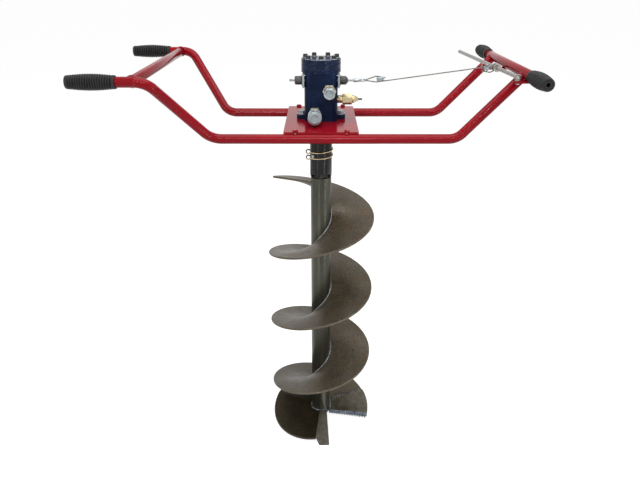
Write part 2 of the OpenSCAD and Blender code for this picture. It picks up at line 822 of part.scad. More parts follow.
module end_cover() {
    color(motor_navy) difference() {
        translate([0, 0, plate_z + cover_up]) cylinder(d = head_d, h = cover_t);
        cover_bolt_holes(hole_gap);
    }
}

module cover_bolts() {
    washer_t = 2;
    color(bolt_black) cover_bolt_places(plate_z + stack_up) cap_bolt(cover_bolt_d, cover_bolt_len, washer_t);
}

flange_nut_t = 0.7 * flange_bolt_d;
module flange_bolts() {
    washer_t = 2.5;
    head_af = 1.6 * flange_bolt_d;
    grip_t = plate_t + flange_t + washer_t;
    color(zinc) flange_bolt_places(plate_z + flange_t) {
        translate([0, 0, washer_t]) hex_bolt(flange_bolt_d, head_af, grip_t + flange_nut_t + 2);
        ring(flange_bolt_d / 2 + thread_gap, flange_ear_r - 1, washer_t);
        translate([0, 0, washer_t - grip_t - flange_nut_t]) nut(flange_bolt_d, head_af, flange_nut_t);
    }
}

module shaft_bearing() {
    color(steel) translate([0, 0, plate_z + bearing_up]) ring(journal_r + run_gap, bearing_r, bearing_t);
}

module shaft_seal() { color(rubber_grey) translate([0, 0, deck_z]) ring(shaft_r + run_gap, seal_r, seal_t); }

module housing_plugs() {
    plug_out = 2;
    color(zinc) for (p = plug_places) port_at(p[0], p[1], housing_front + plug_hole_depth)
        difference() {
            cylinder(r = plug_hole_r, h = plug_hole_depth + plug_out);
            translate([0, 0, plug_hole_depth]) hexagon(plug_hole_r, plug_out + overlap);
        }
}

// Spool valve

module end_plates() {
    plate_mid = side_x + end_plate_t / 2;
    color(zinc) difference() {
        for (s = [-1, 1])
            translate([s * plate_mid, -spool_fwd, spool_z])
                cube([end_plate_t, end_plate_side, end_plate_side], center = true);
        along_x([-side_x - end_plate_t - overlap, -spool_fwd, spool_z])
            cylinder(r = spool_rod_r + 1, h = housing_w + 2 * (end_plate_t + overlap));
        end_plate_screw_places() translate([0, 0, -end_plate_t - overlap])
            cylinder(d = plate_screw_d + 2 * hole_gap, h = end_plate_t + 2 * overlap);
    }
}

module end_plate_screws() {
    screw_len = end_plate_t + 7;
    color(zinc) end_plate_screw_places() {
        translate([0, 0, -screw_len]) cylinder(d = plate_screw_d, h = screw_len + overlap);
        difference() {
            cylinder(r = plate_screw_head_r, h = 0.6 * plate_screw_d);
            translate([0, 0, 0.3 * plate_screw_d]) hexagon(0.6 * plate_screw_d, plate_screw_d);
        }
    }
}

// The cap, the spring and the spool's collar share one bore on the left side
module spring_cap() {
    bore = spring_cap_len - cap_wall;
    color(rubber_grey) along_minus_x([-side_x - end_plate_t, -spool_fwd, spool_z])
        turned([[spool_cap_r - cap_wall, 0], [spool_cap_r, 0], [spool_cap_r, spring_cap_len - 2],
            [spool_cap_r - 2, spring_cap_len], [spool_rod_r + slide_gap, spring_cap_len],
            [spool_rod_r + slide_gap, bore], [spool_cap_r - cap_wall, bore]]);
}

spool_spring_len = spring_cap_len - cap_wall - collar_t - 2 * slide_gap;
module spool_spring() {
    color(steel) along_minus_x([-side_x - end_plate_t, -spool_fwd, spool_z])
        spring((spool_rod_r + collar_r) / 2, spool_spring_len, 4, spring_wire);
}

module cable_boot() {
    tip_r = spool_rod_r + 3;
    color(rubber_grey) along_x([side_x + end_plate_t, -spool_fwd, spool_z])
        turned([[spool_rod_r + slide_gap, 0], [spool_cap_r, 0], [spool_cap_r, 0.75 * boot_len],
            [tip_r, boot_len], [spool_rod_r + slide_gap, boot_len]]);
}

module spool() {
    land_end = side_x - 1;
    groove_r = 0.7 * spool_r;
    grooves = [-24, 0, 24];
    groove_w = 9;
    collar_x = -side_x - end_plate_t - spool_spring_len - slide_gap;
    color(steel) translate([0, -spool_fwd, spool_z]) {
        difference() {
            along_x([-land_end + spool_travel, 0, 0])
                cylinder(r = spool_r, h = 2 * land_end - 2 * spool_travel);
            for (x = grooves) along_x([x - groove_w / 2, 0, 0]) ring(groove_r, spool_r + overlap, groove_w);
        }
        along_x([-spool_end_left, 0, 0]) cylinder(r = spool_rod_r, h = spool_end_left + spool_end_right);
        along_minus_x([collar_x, 0, 0]) cylinder(r = collar_r, h = collar_t);
    }
}

// Relief valve, along +X from its seat in the housing

relief_seat = side_x - relief_depth;
relief_face = side_x + relief_neck_len + relief_hex_len;
relief_nose = 4;
relief_guide = 10;
relief_wire = 1.3;
relief_piston = 8;

module relief_body() {
    length = relief_depth + relief_neck_len + relief_hex_len;
    color(yellow_zinc) along_x([relief_seat, -relief_fwd, relief_z]) difference() {
        union() {
            cylinder(r = relief_thread_r, h = relief_depth + overlap);
            translate([0, 0, relief_depth]) cylinder(r = relief_neck_r, h = relief_neck_len + overlap);
            translate([0, 0, relief_depth + relief_neck_len]) hexagon(relief_hex_af, relief_hex_len);
        }
        translate([0, 0, -overlap]) cylinder(r = relief_bore_r / 2, h = length);
        translate([0, 0, relief_nose]) cylinder(r = relief_bore_r, h = length);
    }
}

module relief_poppet() {
    color(steel) along_x([relief_seat + relief_nose, -relief_fwd, relief_z]) translate([0, 0, slide_gap])
        cylinder(r = relief_bore_r - run_gap, h = relief_guide);
}

relief_spring_x = relief_seat + relief_nose + relief_guide + 2 * slide_gap;
relief_piston_x = relief_face - relief_piston;
module relief_spring() {
    color(steel) along_x([relief_spring_x, -relief_fwd, relief_z])
        spring(relief_bore_r - relief_wire, relief_piston_x - relief_spring_x - slide_gap, 9, relief_wire);
}

module relief_cap() {
    tip_r = relief_stem_r + 2.5;
    color(yellow_zinc) along_x([relief_face, -relief_fwd, relief_z])
        turned([[relief_stem_r + run_gap, 0], [relief_neck_r, 0], [relief_neck_r, 0.3 * relief_cone_len],
            [tip_r, relief_cone_len], [relief_stem_r + run_gap, relief_cone_len]]);
}

module relief_screw() {
    color(bolt_black) along_x([relief_piston_x, -relief_fwd, relief_z]) difference() {
        union() {
            cylinder(r = relief_bore_r - run_gap, h = relief_piston - slide_gap);
            cylinder(r = relief_stem_r, h = relief_piston + relief_cone_len + relief_stem_out);
        }
        translate([-0.4, -relief_stem_r - overlap, relief_piston + relief_cone_len + relief_stem_out - 2])
            cube([0.8, 2 * (relief_stem_r + overlap), 2 + overlap]);
    }
}

// Hose couplers, along -Y from their adapters

module port_adapters() {
    whole_len = port_depth + adapter_neck + adapter_hex;
    color(yellow_zinc) both_ports(boss_y) difference() {
        union() {
            translate([0, 0, -port_depth + slide_gap]) cylinder(r = port_r, h = port_depth);
            cylinder(r = adapter_neck_r, h = adapter_neck + overlap);
            translate([0, 0, adapter_neck]) hexagon(adapter_af, adapter_hex);
        }
        translate([0, 0, -port_depth - overlap]) cylinder(r = flow_r, h = whole_len + 2 * overlap);
    }
}

module coupler_cavity(length) {
    translate([0, 0, -overlap]) cylinder(r = flow_r, h = length);
    translate([0, 0, coupler_wall]) cylinder(r = coupler_bore_r, h = length);
}

module socket_coupler() {
    base_len = 8;
    color(zinc) port_at(-return_x, return_up, coupler_y) difference() {
        union() {
            cylinder(r = body_r, h = socket_len);
            cylinder(r = body_r + spring_room, h = base_len);
            translate([0, 0, collar_at]) cylinder(r = body_r + spring_room, h = collar_w);
        }
        coupler_cavity(socket_len);
    }
}

module plug_coupler() {
    groove_at = 0.62 * plug_len;
    groove_w = 5;
    color(zinc) port_at(pressure_x, pressure_up, coupler_y) difference() {
        cylinder(r = plug_r, h = plug_len);
        translate([0, 0, groove_at]) ring(plug_r - 1.8, plug_r + overlap, groove_w);
        coupler_cavity(plug_len);
    }
}

module coupler_sleeve() {
    bore_r = body_r + run_gap;
    room_r = body_r + spring_room + slide_gap;
    color(zinc) port_at(-return_x, return_up, coupler_y)
        turned([[room_r, sleeve_back], [sleeve_r - 1, sleeve_back], [sleeve_r, sleeve_back + 1],
            [sleeve_r, sleeve_front - 1], [sleeve_r - 1, sleeve_front], [bore_r, sleeve_front],
            [bore_r, sleeve_shoulder], [room_r, sleeve_shoulder]]);
}

module sleeve_spring() {
    spring_at = collar_at + collar_w + slide_gap;
    spring_r = body_r + spring_room + slide_gap - sleeve_wire / 2 - weld_gap;
    color(steel) port_at(-return_x, return_up, coupler_y) translate([0, 0, spring_at])
        spring(spring_r, sleeve_shoulder - slide_gap - spring_at, sleeve_turns, sleeve_wire);
}

module poppet(length) {
    color(zinc) translate([0, 0, length - poppet_recess - poppet_len])
        cylinder(r = coupler_bore_r - run_gap, h = poppet_len);
}

module socket_poppet() { port_at(-return_x, return_up, coupler_y) poppet(socket_len); }
module plug_poppet() { port_at(pressure_x, pressure_up, coupler_y) poppet(plug_len); }

module poppet_spring(length, turns) {
    room = length - poppet_recess - poppet_len - coupler_wall;
    translate([0, 0, coupler_wall + slide_gap])
        spring(coupler_bore_r - 1.5 * coupler_wire, room - 2 * slide_gap, turns, coupler_wire);
}

module poppet_springs() {
    color(steel) {
        port_at(-return_x, return_up, coupler_y) poppet_spring(socket_len, 1.5 * poppet_turns);
        port_at(pressure_x, pressure_up, coupler_y) poppet_spring(plug_len, poppet_turns);
    }
}

// Throttle

module spool_eye() {
    shank_len = 12;
    shank_r = spool_rod_r + 2;
    shank_x = spool_end_right - shank_len;
    color(zinc) translate([0, -spool_fwd, spool_z]) {
        difference() {
            along_x([shank_x, 0, 0]) cylinder(r = shank_r, h = eye_x - eye_r - shank_x);
            along_x([shank_x - overlap, 0, 0])
                cylinder(r = spool_rod_r + thread_gap, h = shank_len + overlap);
        }
        translate([eye_x, 0, 0]) rotate_extrude() translate([eye_r, 0]) circle(d = eye_wire);
    }
}

// The cable's own frame: its first loop ends at the origin and the cable runs along +X
module cable_frame() {
    translate([loop_x, -spool_fwd, spool_z]) rotate([0, -cable_slope, 0]) children();
}

ferrule_at = loop_taper;
clip_at = loop_end - clip_taper - clip_len;
half_step = strand_step / 2;
cable_route = [
    [ferrule_at + ferrule_len + 4, 0, half_step],
    [ferrule_at - 2, 0, half_step],
    [0, 0, loop_half],
    [0, 0, -loop_half],
    [ferrule_at - 2, 0, -half_step],
    [clip_at + clip_len + 2, 0, -half_step],
    [loop_end, 0, lever_loop_half],
    [loop_end, 0, -lever_loop_half - strand_step],
    [clip_at + clip_len + 2, 0, -half_step - strand_step],
    [clip_at - 8, 0, -half_step - strand_step]
];

module throttle_cable() { color(steel) cable_frame() bent_bar(cable_route, loop_r, cable_d); }

module cable_ferrule() {
    wall = 2;
    ferrule_r = cable_d / 2 + wall;
    color(zinc) cable_frame() difference() {
        union() {
            for (s = [-1, 1]) along_x([ferrule_at, 0, s * half_step])
                cylinder(r = ferrule_r, h = ferrule_len);
            translate([ferrule_at, -ferrule_r, -half_step]) cube([ferrule_len, 2 * ferrule_r, strand_step]);
        }
        for (s = [-1, 1]) along_x([ferrule_at - overlap, 0, s * half_step])
            cylinder(r = cable_d / 2 + press_gap, h = ferrule_len + 2 * overlap);
    }
}

clip_leg_y = cable_d / 2 + clip_rod / 2 + weld_gap;
clip_mid = clip_at + clip_len / 2;
saddle_low = -cable_d / 4;
saddle_top = saddle_low + clip_rise;

// The clip's own frame: the cable's main strand runs along its X axis
module clip_frame() { cable_frame() translate([0, 0, -half_step]) children(); }

module clip_saddle() {
    saddle_w = 2 * clip_leg_y + clip_rod + 5;
    color(zinc) clip_frame() difference() {
        translate([clip_at, -saddle_w / 2, saddle_low]) cube([clip_len, saddle_w, clip_rise]);
        along_x([clip_at - overlap, 0, 0]) cylinder(r = cable_d / 2 + press_gap, h = clip_len + 2 * overlap);
        for (y = [-1, 1]) translate([clip_mid, y * clip_leg_y, saddle_low - overlap])
            cylinder(d = clip_rod + 2 * weld_gap, h = clip_rise + 2 * overlap);
    }
}

module clip_u_bolt() {
    leg_top = saddle_top + clip_nut_t + 3;
    color(zinc) clip_frame() translate([clip_mid, 0, -strand_step]) {
        for (y = [-1, 1]) translate([0, y * clip_leg_y, 0]) cylinder(d = clip_rod, h = strand_step + leg_top);
        rotate([0, 90, 0]) rotate([0, 0, -90])
            rotate_extrude(angle = 180) translate([clip_leg_y, 0]) circle(d = clip_rod);
    }
}

module clip_nuts() {
    color(zinc) clip_frame() for (y = [-1, 1])
        translate([clip_mid, y * clip_leg_y, saddle_top]) nut(clip_rod, clip_nut_af, clip_nut_t);
}

// The lever's bar has a stop collar on both sides of the cable's loop
module throttle_lever() {
    pivot = [pivot_x, pivot_y, lever_z];
    color(zinc) difference() {
        union() {
            translate(pivot - [0, 0, lever_eye_t / 2]) cylinder(r = lever_eye_r, h = lever_eye_t);
            rod(pivot, pivot + bar_len * bar_dir, bar_d);
            for (s = [-1, 1]) let (near = loop_along + s * stop_gap)
                rod(pivot + near * bar_dir, pivot + (near + s * stop_w) * bar_dir, stop_d);
        }
        translate(pivot - [0, 0, bar_d]) cylinder(r = pivot_bolt_d / 2 + run_gap, h = 2 * bar_d);
    }
}

// Shaft, hub and bit

module output_shaft() {
    journal_top = bearing_up + bearing_t + weld_gap;
    tap_depth = 26;
    color(steel) translate([0, 0, plate_z]) difference() {
        union() {
            translate([0, 0, -shaft_drop]) cylinder(r = shaft_r, h = shaft_drop + bearing_up + overlap);
            translate([0, 0, bearing_up - weld_gap]) cylinder(r = journal_r, h = bearing_t + overlap);
            translate([0, 0, journal_top]) cylinder(r = barrel_r, h = barrel_top - journal_top);
        }
        translate([0, 0, barrel_top - link_depth]) cylinder(r = link_socket_r, h = link_depth + overlap);
        translate([0, 0, -shaft_drop - overlap])
            cylinder(d = hub_bolt_d + 2 * thread_gap, h = tap_depth + overlap);
    }
}

module hub_bolt() {
    thread_len = 22;
    color(zinc) translate([0, 0, socket_top]) mirror([0, 0, 1])
        hex_bolt(hub_bolt_d, 1.6 * hub_bolt_d, hub_web + thread_len);
}

module pin_hole(r) {
    translate([0, 0, pin_z]) rotate([0, 0, pin_angle]) rotate([0, 90, 0])
        cylinder(r = r, h = 2 * hub_d, center = true);
}

module auger_hub() {
    hub_r = hub_d / 2;
    color(hub_black) difference() {
        translate([0, 0, hub_bottom])
            turned([[0, 0], [hub_r - hub_chamfer, 0], [hub_r, hub_chamfer], [hub_r, hub_len - 1],
                [hub_r - 1, hub_len], [0, hub_len]]);
        translate([0, 0, shaft_end]) cylinder(r = shaft_r + press_gap, h = shaft_drop);
        translate([0, 0, hub_bottom - overlap]) cylinder(r = socket_r, h = socket_top - hub_bottom + overlap);
        translate([0, 0, socket_top - overlap])
            cylinder(d = hub_bolt_d + 2 * hole_gap, h = hub_web + 2 * overlap);
        for (i = [0 : hub_notches - 1]) rotate(360 * i / hub_notches)
            translate([0, -notch_w / 2, hub_bottom - overlap]) cube([hub_d, notch_w, notch_h + overlap]);
        pin_hole(pin_d / 2 + run_gap);
    }
}

module lock_pin() {
    hub_r = hub_d / 2;
    far_end = hub_r - pin_inset;
    color(zinc) translate([0, 0, pin_z]) rotate([0, 0, pin_angle]) rotate([0, 90, 0]) {
        translate([0, 0, -far_end]) cylinder(d = pin_d, h = far_end + hub_r + slide_gap + overlap);
        translate([0, 0, hub_r + slide_gap]) cylinder(d = pin_head_d, h = pin_head_t);
    }
}

// Two turns of wire round the hub, with a small open curl on the left side of each turn
function curl_phase(a) =
    let (off = (a % 360) - curl_at) abs(off) < curl_half ? 180 + 180 * off / curl_half : 0;
function wire_point(a) =
    let (w = curl_phase(a), r = wire_r + curl_r * (1 - cos(w)))
    [r * cos(a), r * sin(a), wire_pin_z + wire_pitch * (a - pin_angle) / 360 + curl_r * sin(w)];
function near_curl(a) = abs((a % 360) - curl_at) <= curl_half + wire_step;
wire_fine = wire_step / 5;
wire_points = [for (a = [wire_start : wire_fine : wire_start + 360 * wire_turns])
    if (near_curl(a) || (a - wire_start) % wire_step < wire_fine / 2) wire_point(a)];

module lock_ring() { color(zinc) swept(wire_points, wire_d / 2, 6); }
echo(lock_ring_least_gap = self_gap(wire_points, wire_d, 6));

module auger_pipe() {
    color(steel) difference() {
        union() {
            translate([0, 0, pipe_bottom]) ring(pipe_r - pipe_wall, pipe_r, pipe_top - pipe_bottom);
            translate([0, 0, pipe_top - pipe_plug]) cylinder(r = pipe_r - pipe_wall / 2, h = pipe_plug);
            translate([0, 0, pipe_top - overlap]) cylinder(r = stub_r, h = stub_top - pipe_top + overlap);
        }
        pin_hole(pin_d / 2 + run_gap);
    }
}

// Height of the right-handed flight at an angle, where the angle counts down past the left side
function flight_z(a) = flight_top_z + flight_pitch * (a - 180) / 360;
function flight_row(a) = [a, flight_z(a), flight_z(a)];
flight_low_a = cutter_start - 360 * flight_passes;
flight_high_a = 180 - flight_short;
flight_rows_n = ceil((flight_high_a - flight_low_a) / flight_step);
function between(a, b, i, n) = a + (b - a) * i / n;

module main_flight() {
    color(flight_grey) winding_strip(
        [for (i = [0 : flight_rows_n]) flight_row(between(flight_low_a, flight_high_a, i, flight_rows_n))],
        flight_in_r, flight_r, flight_t);
}

// The opposed lower flight is level at the pipe. Its rim is bowed, lowest between the left side and
// the front cutter.
function lower_rim(a) = min(lower_rim_high, lower_rim_z + lower_bow * (a - lower_mid) ^ 2);
function lower_row(a) = [a, lower_z, lower_rim(a)];
lower_rows_n = ceil((lower_to - lower_from) / flight_step);
module lower_flight() {
    color(flight_grey) winding_strip(
        [for (i = [0 : lower_rows_n]) lower_row(between(lower_from, lower_to, i, lower_rows_n))],
        flight_in_r, flight_r, flight_t);
}

cutter_r = flight_r + cutter_reach;
cutter_high_a = flight_low_a - cutter_gap;
cutter_low_a = cutter_end - 360 * flight_passes;
// The side cutter's leading edge runs ahead at its inner end
module side_cutter() {
    n = 4;
    rows = [for (i = [0 : n])
        let (a = between(cutter_low_a, cutter_high_a, i, n), lead = cutter_skew * (n - i) / n)
        [a - lead, flight_z(a), flight_z(a), a]];
    winding_strip(rows, cutter_in_r, cutter_r, cutter_t);
}

// The front cutter falls from the pipe's lower end to the lowest point of the bit
module front_cutter() {
    y_in = -pipe_r - slide_gap;
    y_out = -cutter_r;
    points = [
        [blade_in_x[0], y_in, blade_in_z + blade_in_h], [blade_in_x[1], y_in, blade_in_z + blade_in_h - 3],
        [blade_in_x[1], y_in, blade_in_z], [blade_in_x[0], y_in, blade_in_z],
        [blade_out_x[0], y_out, blade_out_h[0]], [blade_out_x[1], y_out, blade_out_h[1]],
        [blade_out_x[1], y_out, 0], [blade_foot_x, y_out, 0]
    ];
    faces = [[0, 1, 2], [0, 2, 3], [4, 6, 5], [4, 7, 6], [0, 4, 5], [0, 5, 1], [1, 5, 6], [1, 6, 2],
        [2, 6, 7], [2, 7, 3], [3, 7, 4], [3, 4, 0]];
    polyhedron(points = points, faces = [for (f = faces) [f[0], f[2], f[1]]]);
}

module cutter_blades() {
    color(zinc) {
        side_cutter();
        front_cutter();
    }
}

front_frame_tube();
rear_frame_tube();
left_cross_tube();
right_cross_tube();
right_front_grip();
right_rear_grip();
left_front_grip();
left_rear_grip();
motor_plate();
plate_bolts();
lever_tab();
lever_guide();
lever_pivot_bolt();
motor_housing();
wear_plate();
rotor_ring();
ring_rollers();
end_cover();
cover_bolts();
flange_bolts();
shaft_bearing();
shaft_seal();
housing_plugs();
end_plates();
end_plate_screws();
spring_cap();
cable_boot();
spool_spring();
relief_body();
relief_cap();
relief_spring();
relief_poppet();
relief_screw();
port_adapters();
socket_coupler();
plug_coupler();
coupler_sleeve();
sleeve_spring();
socket_poppet();
plug_poppet();
poppet_springs();
spool();
spool_eye();
throttle_cable();
cable_ferrule();
clip_saddle();
clip_u_bolt();
clip_nuts();
throttle_lever();
output_shaft();
hub_bolt();
auger_hub();
lock_pin();
lock_ring();
auger_pipe();
main_flight();
lower_flight();
cutter_blades();
drive_link();
rotor_star();
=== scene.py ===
"""Earth auger: the visible model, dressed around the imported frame."""
import json
import math
import bmesh
import bpy
from mathutils import Matrix, Vector


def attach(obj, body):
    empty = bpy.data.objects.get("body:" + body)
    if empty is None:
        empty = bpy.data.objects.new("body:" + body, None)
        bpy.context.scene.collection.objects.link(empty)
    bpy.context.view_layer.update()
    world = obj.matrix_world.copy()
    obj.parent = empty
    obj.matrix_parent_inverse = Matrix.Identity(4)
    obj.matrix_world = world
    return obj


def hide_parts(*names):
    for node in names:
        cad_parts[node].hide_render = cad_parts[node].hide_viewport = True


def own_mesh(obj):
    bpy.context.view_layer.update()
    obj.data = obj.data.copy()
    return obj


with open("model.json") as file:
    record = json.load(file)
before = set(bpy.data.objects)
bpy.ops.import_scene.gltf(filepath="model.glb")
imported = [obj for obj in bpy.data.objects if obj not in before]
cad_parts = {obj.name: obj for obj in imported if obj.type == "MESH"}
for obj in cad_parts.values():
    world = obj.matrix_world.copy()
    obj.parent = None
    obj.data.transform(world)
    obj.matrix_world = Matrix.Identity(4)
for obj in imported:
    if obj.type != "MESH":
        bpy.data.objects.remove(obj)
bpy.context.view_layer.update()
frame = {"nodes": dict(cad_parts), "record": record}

MM = 0.001
UP = Vector((0, 0, 1))


def cosd(a):
    return math.cos(math.radians(a))


def sind(a):
    return math.sin(math.radians(a))


def paint(r, g, b):
    """Linear colour of an sRGB colour given in 0 to 255."""
    def linear(c):
        c = c / 255
        return c / 12.92 if c <= 0.04045 else ((c + 0.055) / 1.055) ** 2.4
    return (linear(r), linear(g), linear(b), 1)


# Materials

class Look:
    """A material being made, with short ways to add its nodes."""

    def __init__(self, name, **sockets):
        self.material = bpy.data.materials.new(name)
        self.material.use_nodes = True
        self.nodes = self.material.node_tree.nodes
        self.links = self.material.node_tree.links
        self.shader = self.nodes["Principled BSDF"]
        for key, value in sockets.items():
            self.shader.inputs[key.replace("_", " ")].default_value = value
        self.place = self.nodes.new("ShaderNodeTexCoord").outputs["Object"]

    def stretched(self, x, y, z):
        node = self.nodes.new("ShaderNodeMapping")
        node.inputs["Scale"].default_value = (x, y, z)
        self.links.new(self.place, node.inputs["Vector"])
        return node.outputs["Vector"]

    def noise(self, scale, detail=3.0, rough=0.5, vector=None):
        node = self.nodes.new("ShaderNodeTexNoise")
        node.inputs["Scale"].default_value = scale
        node.inputs["Detail"].default_value = detail
        node.inputs["Roughness"].default_value = rough
        self.links.new(vector or self.place, node.inputs["Vector"])
        return node.outputs["Fac"]

    def ramp(self, fac, *stops):
        node = self.nodes.new("ShaderNodeValToRGB")
        ramp = node.color_ramp
        while len(ramp.elements) < len(stops):
            ramp.elements.new(0.5)
        for element, (position, colour) in zip(ramp.elements, stops):
            element.position = position
            element.color = colour
        self.links.new(fac, node.inputs["Fac"])
        return node.outputs["Color"]

    def spread(self, fac, low, high, from_low=0.3, from_high=0.7):
        node = self.nodes.new("ShaderNodeMapRange")
        node.inputs["From Min"].default_value = from_low
        node.inputs["From Max"].default_value = from_high
        node.inputs["To Min"].default_value = low
        node.inputs["To Max"].default_value = high
        self.links.new(fac, node.inputs["Value"])
        return node.outputs["Result"]

    def mix(self, fac, a, b):
        node = self.nodes.new("ShaderNodeMix")
        node.data_type = "RGBA"
        for key, value in ((0, fac), (6, a), (7, b)):
            if isinstance(value, (int, float, tuple)):
                node.inputs[key].default_value = value
            else:
                self.links.new(value, node.inputs[key])
        return node.outputs[2]

    def edges(self, width):
        """A mask that is white along sharp edges."""
        bevel = self.nodes.new("ShaderNodeBevel")
        bevel.samples = 4
        bevel.inputs["Radius"].default_value = width
        shape = self.nodes.new("ShaderNodeNewGeometry")
        dot = self.nodes.new("ShaderNodeVectorMath")
        dot.operation = "DOT_PRODUCT"
        self.links.new(bevel.outputs["Normal"], dot.inputs[0])
        self.links.new(shape.outputs["Normal"], dot.inputs[1])
        return self.spread(dot.outputs["Value"], 1, 0, 0.8, 0.98)

    def colour(self, socket):
        self.links.new(socket, self.shader.inputs["Base Color"])
        return self

    def rough(self, socket):
        self.links.new(socket, self.shader.inputs["Roughness"])
        return self

    def bump(self, height, strength, distance):
        node = self.nodes.new("ShaderNodeBump")
        node.inputs["Strength"].default_value = strength
        node.inputs["Distance"].default_value = distance
        self.links.new(height, node.inputs["Height"])
        self.links.new(node.outputs["Normal"], self.shader.inputs["Normal"])
        return self


def plain_look(name, dark, light, rough, grain, bump, **sockets):
    """A finish with soft blotches of two tones, uneven gloss and a fine grain."""
    look = Look(name, **sockets)
    blotch = look.noise(grain / 12, 4)
    fine = look.noise(grain, 3, 0.6)
    look.colour(look.ramp(blotch, (0.3, paint(*dark)), (0.7, paint(*light))))
    look.rough(look.spread(blotch, rough - 0.05, rough + 0.06))
    return look.bump(fine, bump, 0.0004)


def make_red():
    look = Look("red_powder_coat", IOR=1.23)
    drift = look.noise(5, 2)
    peel = look.noise(420, 2, 0.4)
    dust = look.noise(1500, 2, 0.7)
    tone = look.ramp(drift, (0.3, paint(130, 4, 18)), (0.7, paint(150, 8, 26)))
    look.colour(look.mix(look.spread(dust, 0, 0.04, 0.62, 0.75), tone, paint(200, 80, 86)))
    look.rough(look.spread(drift, 0.11, 0.17))
    return look.bump(peel, 0.03, 0.0003)


def make_rubber():
    look = Look("grip_rubber", IOR=1.32)
    bloom = look.noise(40, 4)
    fine = look.noise(1400, 3, 0.7)
    tone = look.ramp(bloom, (0.3, paint(18, 19, 18)), (0.75, paint(30, 31, 30)))
    look.colour(look.mix(look.spread(fine, 0, 0.12, 0.55, 0.8), tone, paint(58, 58, 56)))
    look.rough(look.spread(bloom, 0.38, 0.52))
    return look.bump(fine, 0.1, 0.0003)


def make_navy():
    look = Look("navy_enamel_on_cast_iron", IOR=1.18)
    drift = look.noise(22, 3)
    cast = look.noise(330, 4, 0.6)
    tone = look.ramp(drift, (0.3, paint(12, 24, 48)), (0.7, paint(20, 36, 66)))
    look.colour(look.mix(look.edges(0.0012), tone, paint(44, 62, 94)))
    look.rough(look.spread(drift, 0.2, 0.3))
    return look.bump(cast, 0.16, 0.0005)


def make_metal(name, dark, light, rough, grain, metallic):
    """Plated or bare metal with drawn grain and slight tarnish."""
    look = Look(name, Metallic=metallic)
    tarnish = look.noise(70, 4, 0.6)
    fine = look.noise(grain, 3, 0.6)
    tone = look.ramp(tarnish, (0.3, paint(*dark)), (0.7, paint(*light)))
    look.colour(look.mix(look.spread(fine, 0, 0.3, 0.5, 0.8), tone, paint(*dark)))
    look.rough(look.spread(tarnish, rough - 0.06, rough + 0.1))
    return look.bump(fine, 0.08, 0.0002)


def make_yellow_zinc():
    look = Look("yellow_zinc", Metallic=0.75)
    sheen = look.noise(55, 3, 0.6)
    fine = look.noise(900, 3, 0.6)
    tone = look.ramp(
        sheen, (0.2, paint(150, 126, 86)), (0.45, paint(196, 182, 144)), (0.62, paint(190, 172, 132)),
        (0.8, paint(156, 128, 112)))
    look.colour(look.mix(look.edges(0.0008), tone, paint(238, 234, 216)))
    look.rough(look.spread(sheen, 0.2, 0.34))
    return look.bump(fine, 0.06, 0.0002)


def make_pipe_steel():
    look = Look("pipe_steel", Metallic=0.6, IOR=1.45)
    streaks = look.noise(26, 4, 0.6, look.stretched(1, 1, 0.12))
    stain = look.noise(16, 5, 0.6)
    fine = look.noise(700, 3, 0.6, look.stretched(1, 1, 0.4))
    tone = look.ramp(
        streaks, (0.25, paint(46, 47, 39)), (0.5, paint(68, 68, 59)), (0.75, paint(98, 96, 86)))
    look.colour(look.mix(look.spread(stain, 0, 0.45, 0.55, 0.75), tone, paint(72, 60, 44)))
    look.rough(look.spread(stain, 0.24, 0.38))
    return look.bump(fine, 0.12, 0.0003)


def make_flight_steel(name, low, mid, high, stained):
    """Dull rolled steel with brown stains and fine specks; the lower flight's darker copy of it is painted
    shade.
    """
    look = Look(name, Metallic=0.35, IOR=1.35)
    cloud = look.noise(9, 4, 0.55)
    stain = look.noise(34, 5, 0.65)
    speck = look.noise(240, 4, 0.75)
    fine = look.noise(800, 3, 0.6)
    wave = look.noise(14, 2, 0.4)
    grey = look.ramp(cloud, (0.25, paint(*low)), (0.5, paint(*mid)), (0.75, paint(*high)))
    warm = look.mix(look.spread(stain, 0, 0.55, 0.45, 0.75), grey, paint(*stained))
    dark = look.mix(look.spread(speck, 0.7, 0, 0.38, 0.5), warm, paint(48, 40, 26))
    gold = look.mix(look.spread(speck, 0, 0.35, 0.56, 0.68), dark, paint(132, 116, 84))
    look.colour(look.mix(look.edges(0.0014), gold, paint(134, 128, 118)))
    look.rough(look.spread(stain, 0.32, 0.46))
    height = look.mix(0.3, wave, fine)
    return look.bump(height, 0.14, 0.0012)


def make_weld():
    look = Look("weld_metal", Metallic=0.5)
    tint = look.noise(60, 4, 0.6)
    spatter = look.noise(420, 3, 0.7)
    tone = look.ramp(
        tint, (0.2, paint(60, 58, 54)), (0.45, paint(150, 156, 162)), (0.6, paint(104, 100, 92)),
        (0.8, paint(62, 52, 38)))
    look.colour(tone)
    look.rough(look.spread(spatter, 0.28, 0.55))
    return look.bump(spatter, 0.3, 0.0006)


def make_hub_black():
    look = Look("hub_black", IOR=1.25)
    drift = look.noise(30, 3)
    fine = look.noise(600, 3, 0.6)
    tone = look.ramp(drift, (0.3, paint(22, 23, 23)), (0.7, paint(36, 37, 36)))
    scuff = look.mix(look.spread(look.noise(120, 5, 0.7), 0, 0.5, 0.62, 0.75), tone, paint(66, 65, 62))
    look.colour(look.mix(look.edges(0.0014), scuff, paint(92, 90, 86)))
    look.rough(look.spread(drift, 0.16, 0.26))
    return look.bump(fine, 0.06, 0.0003)


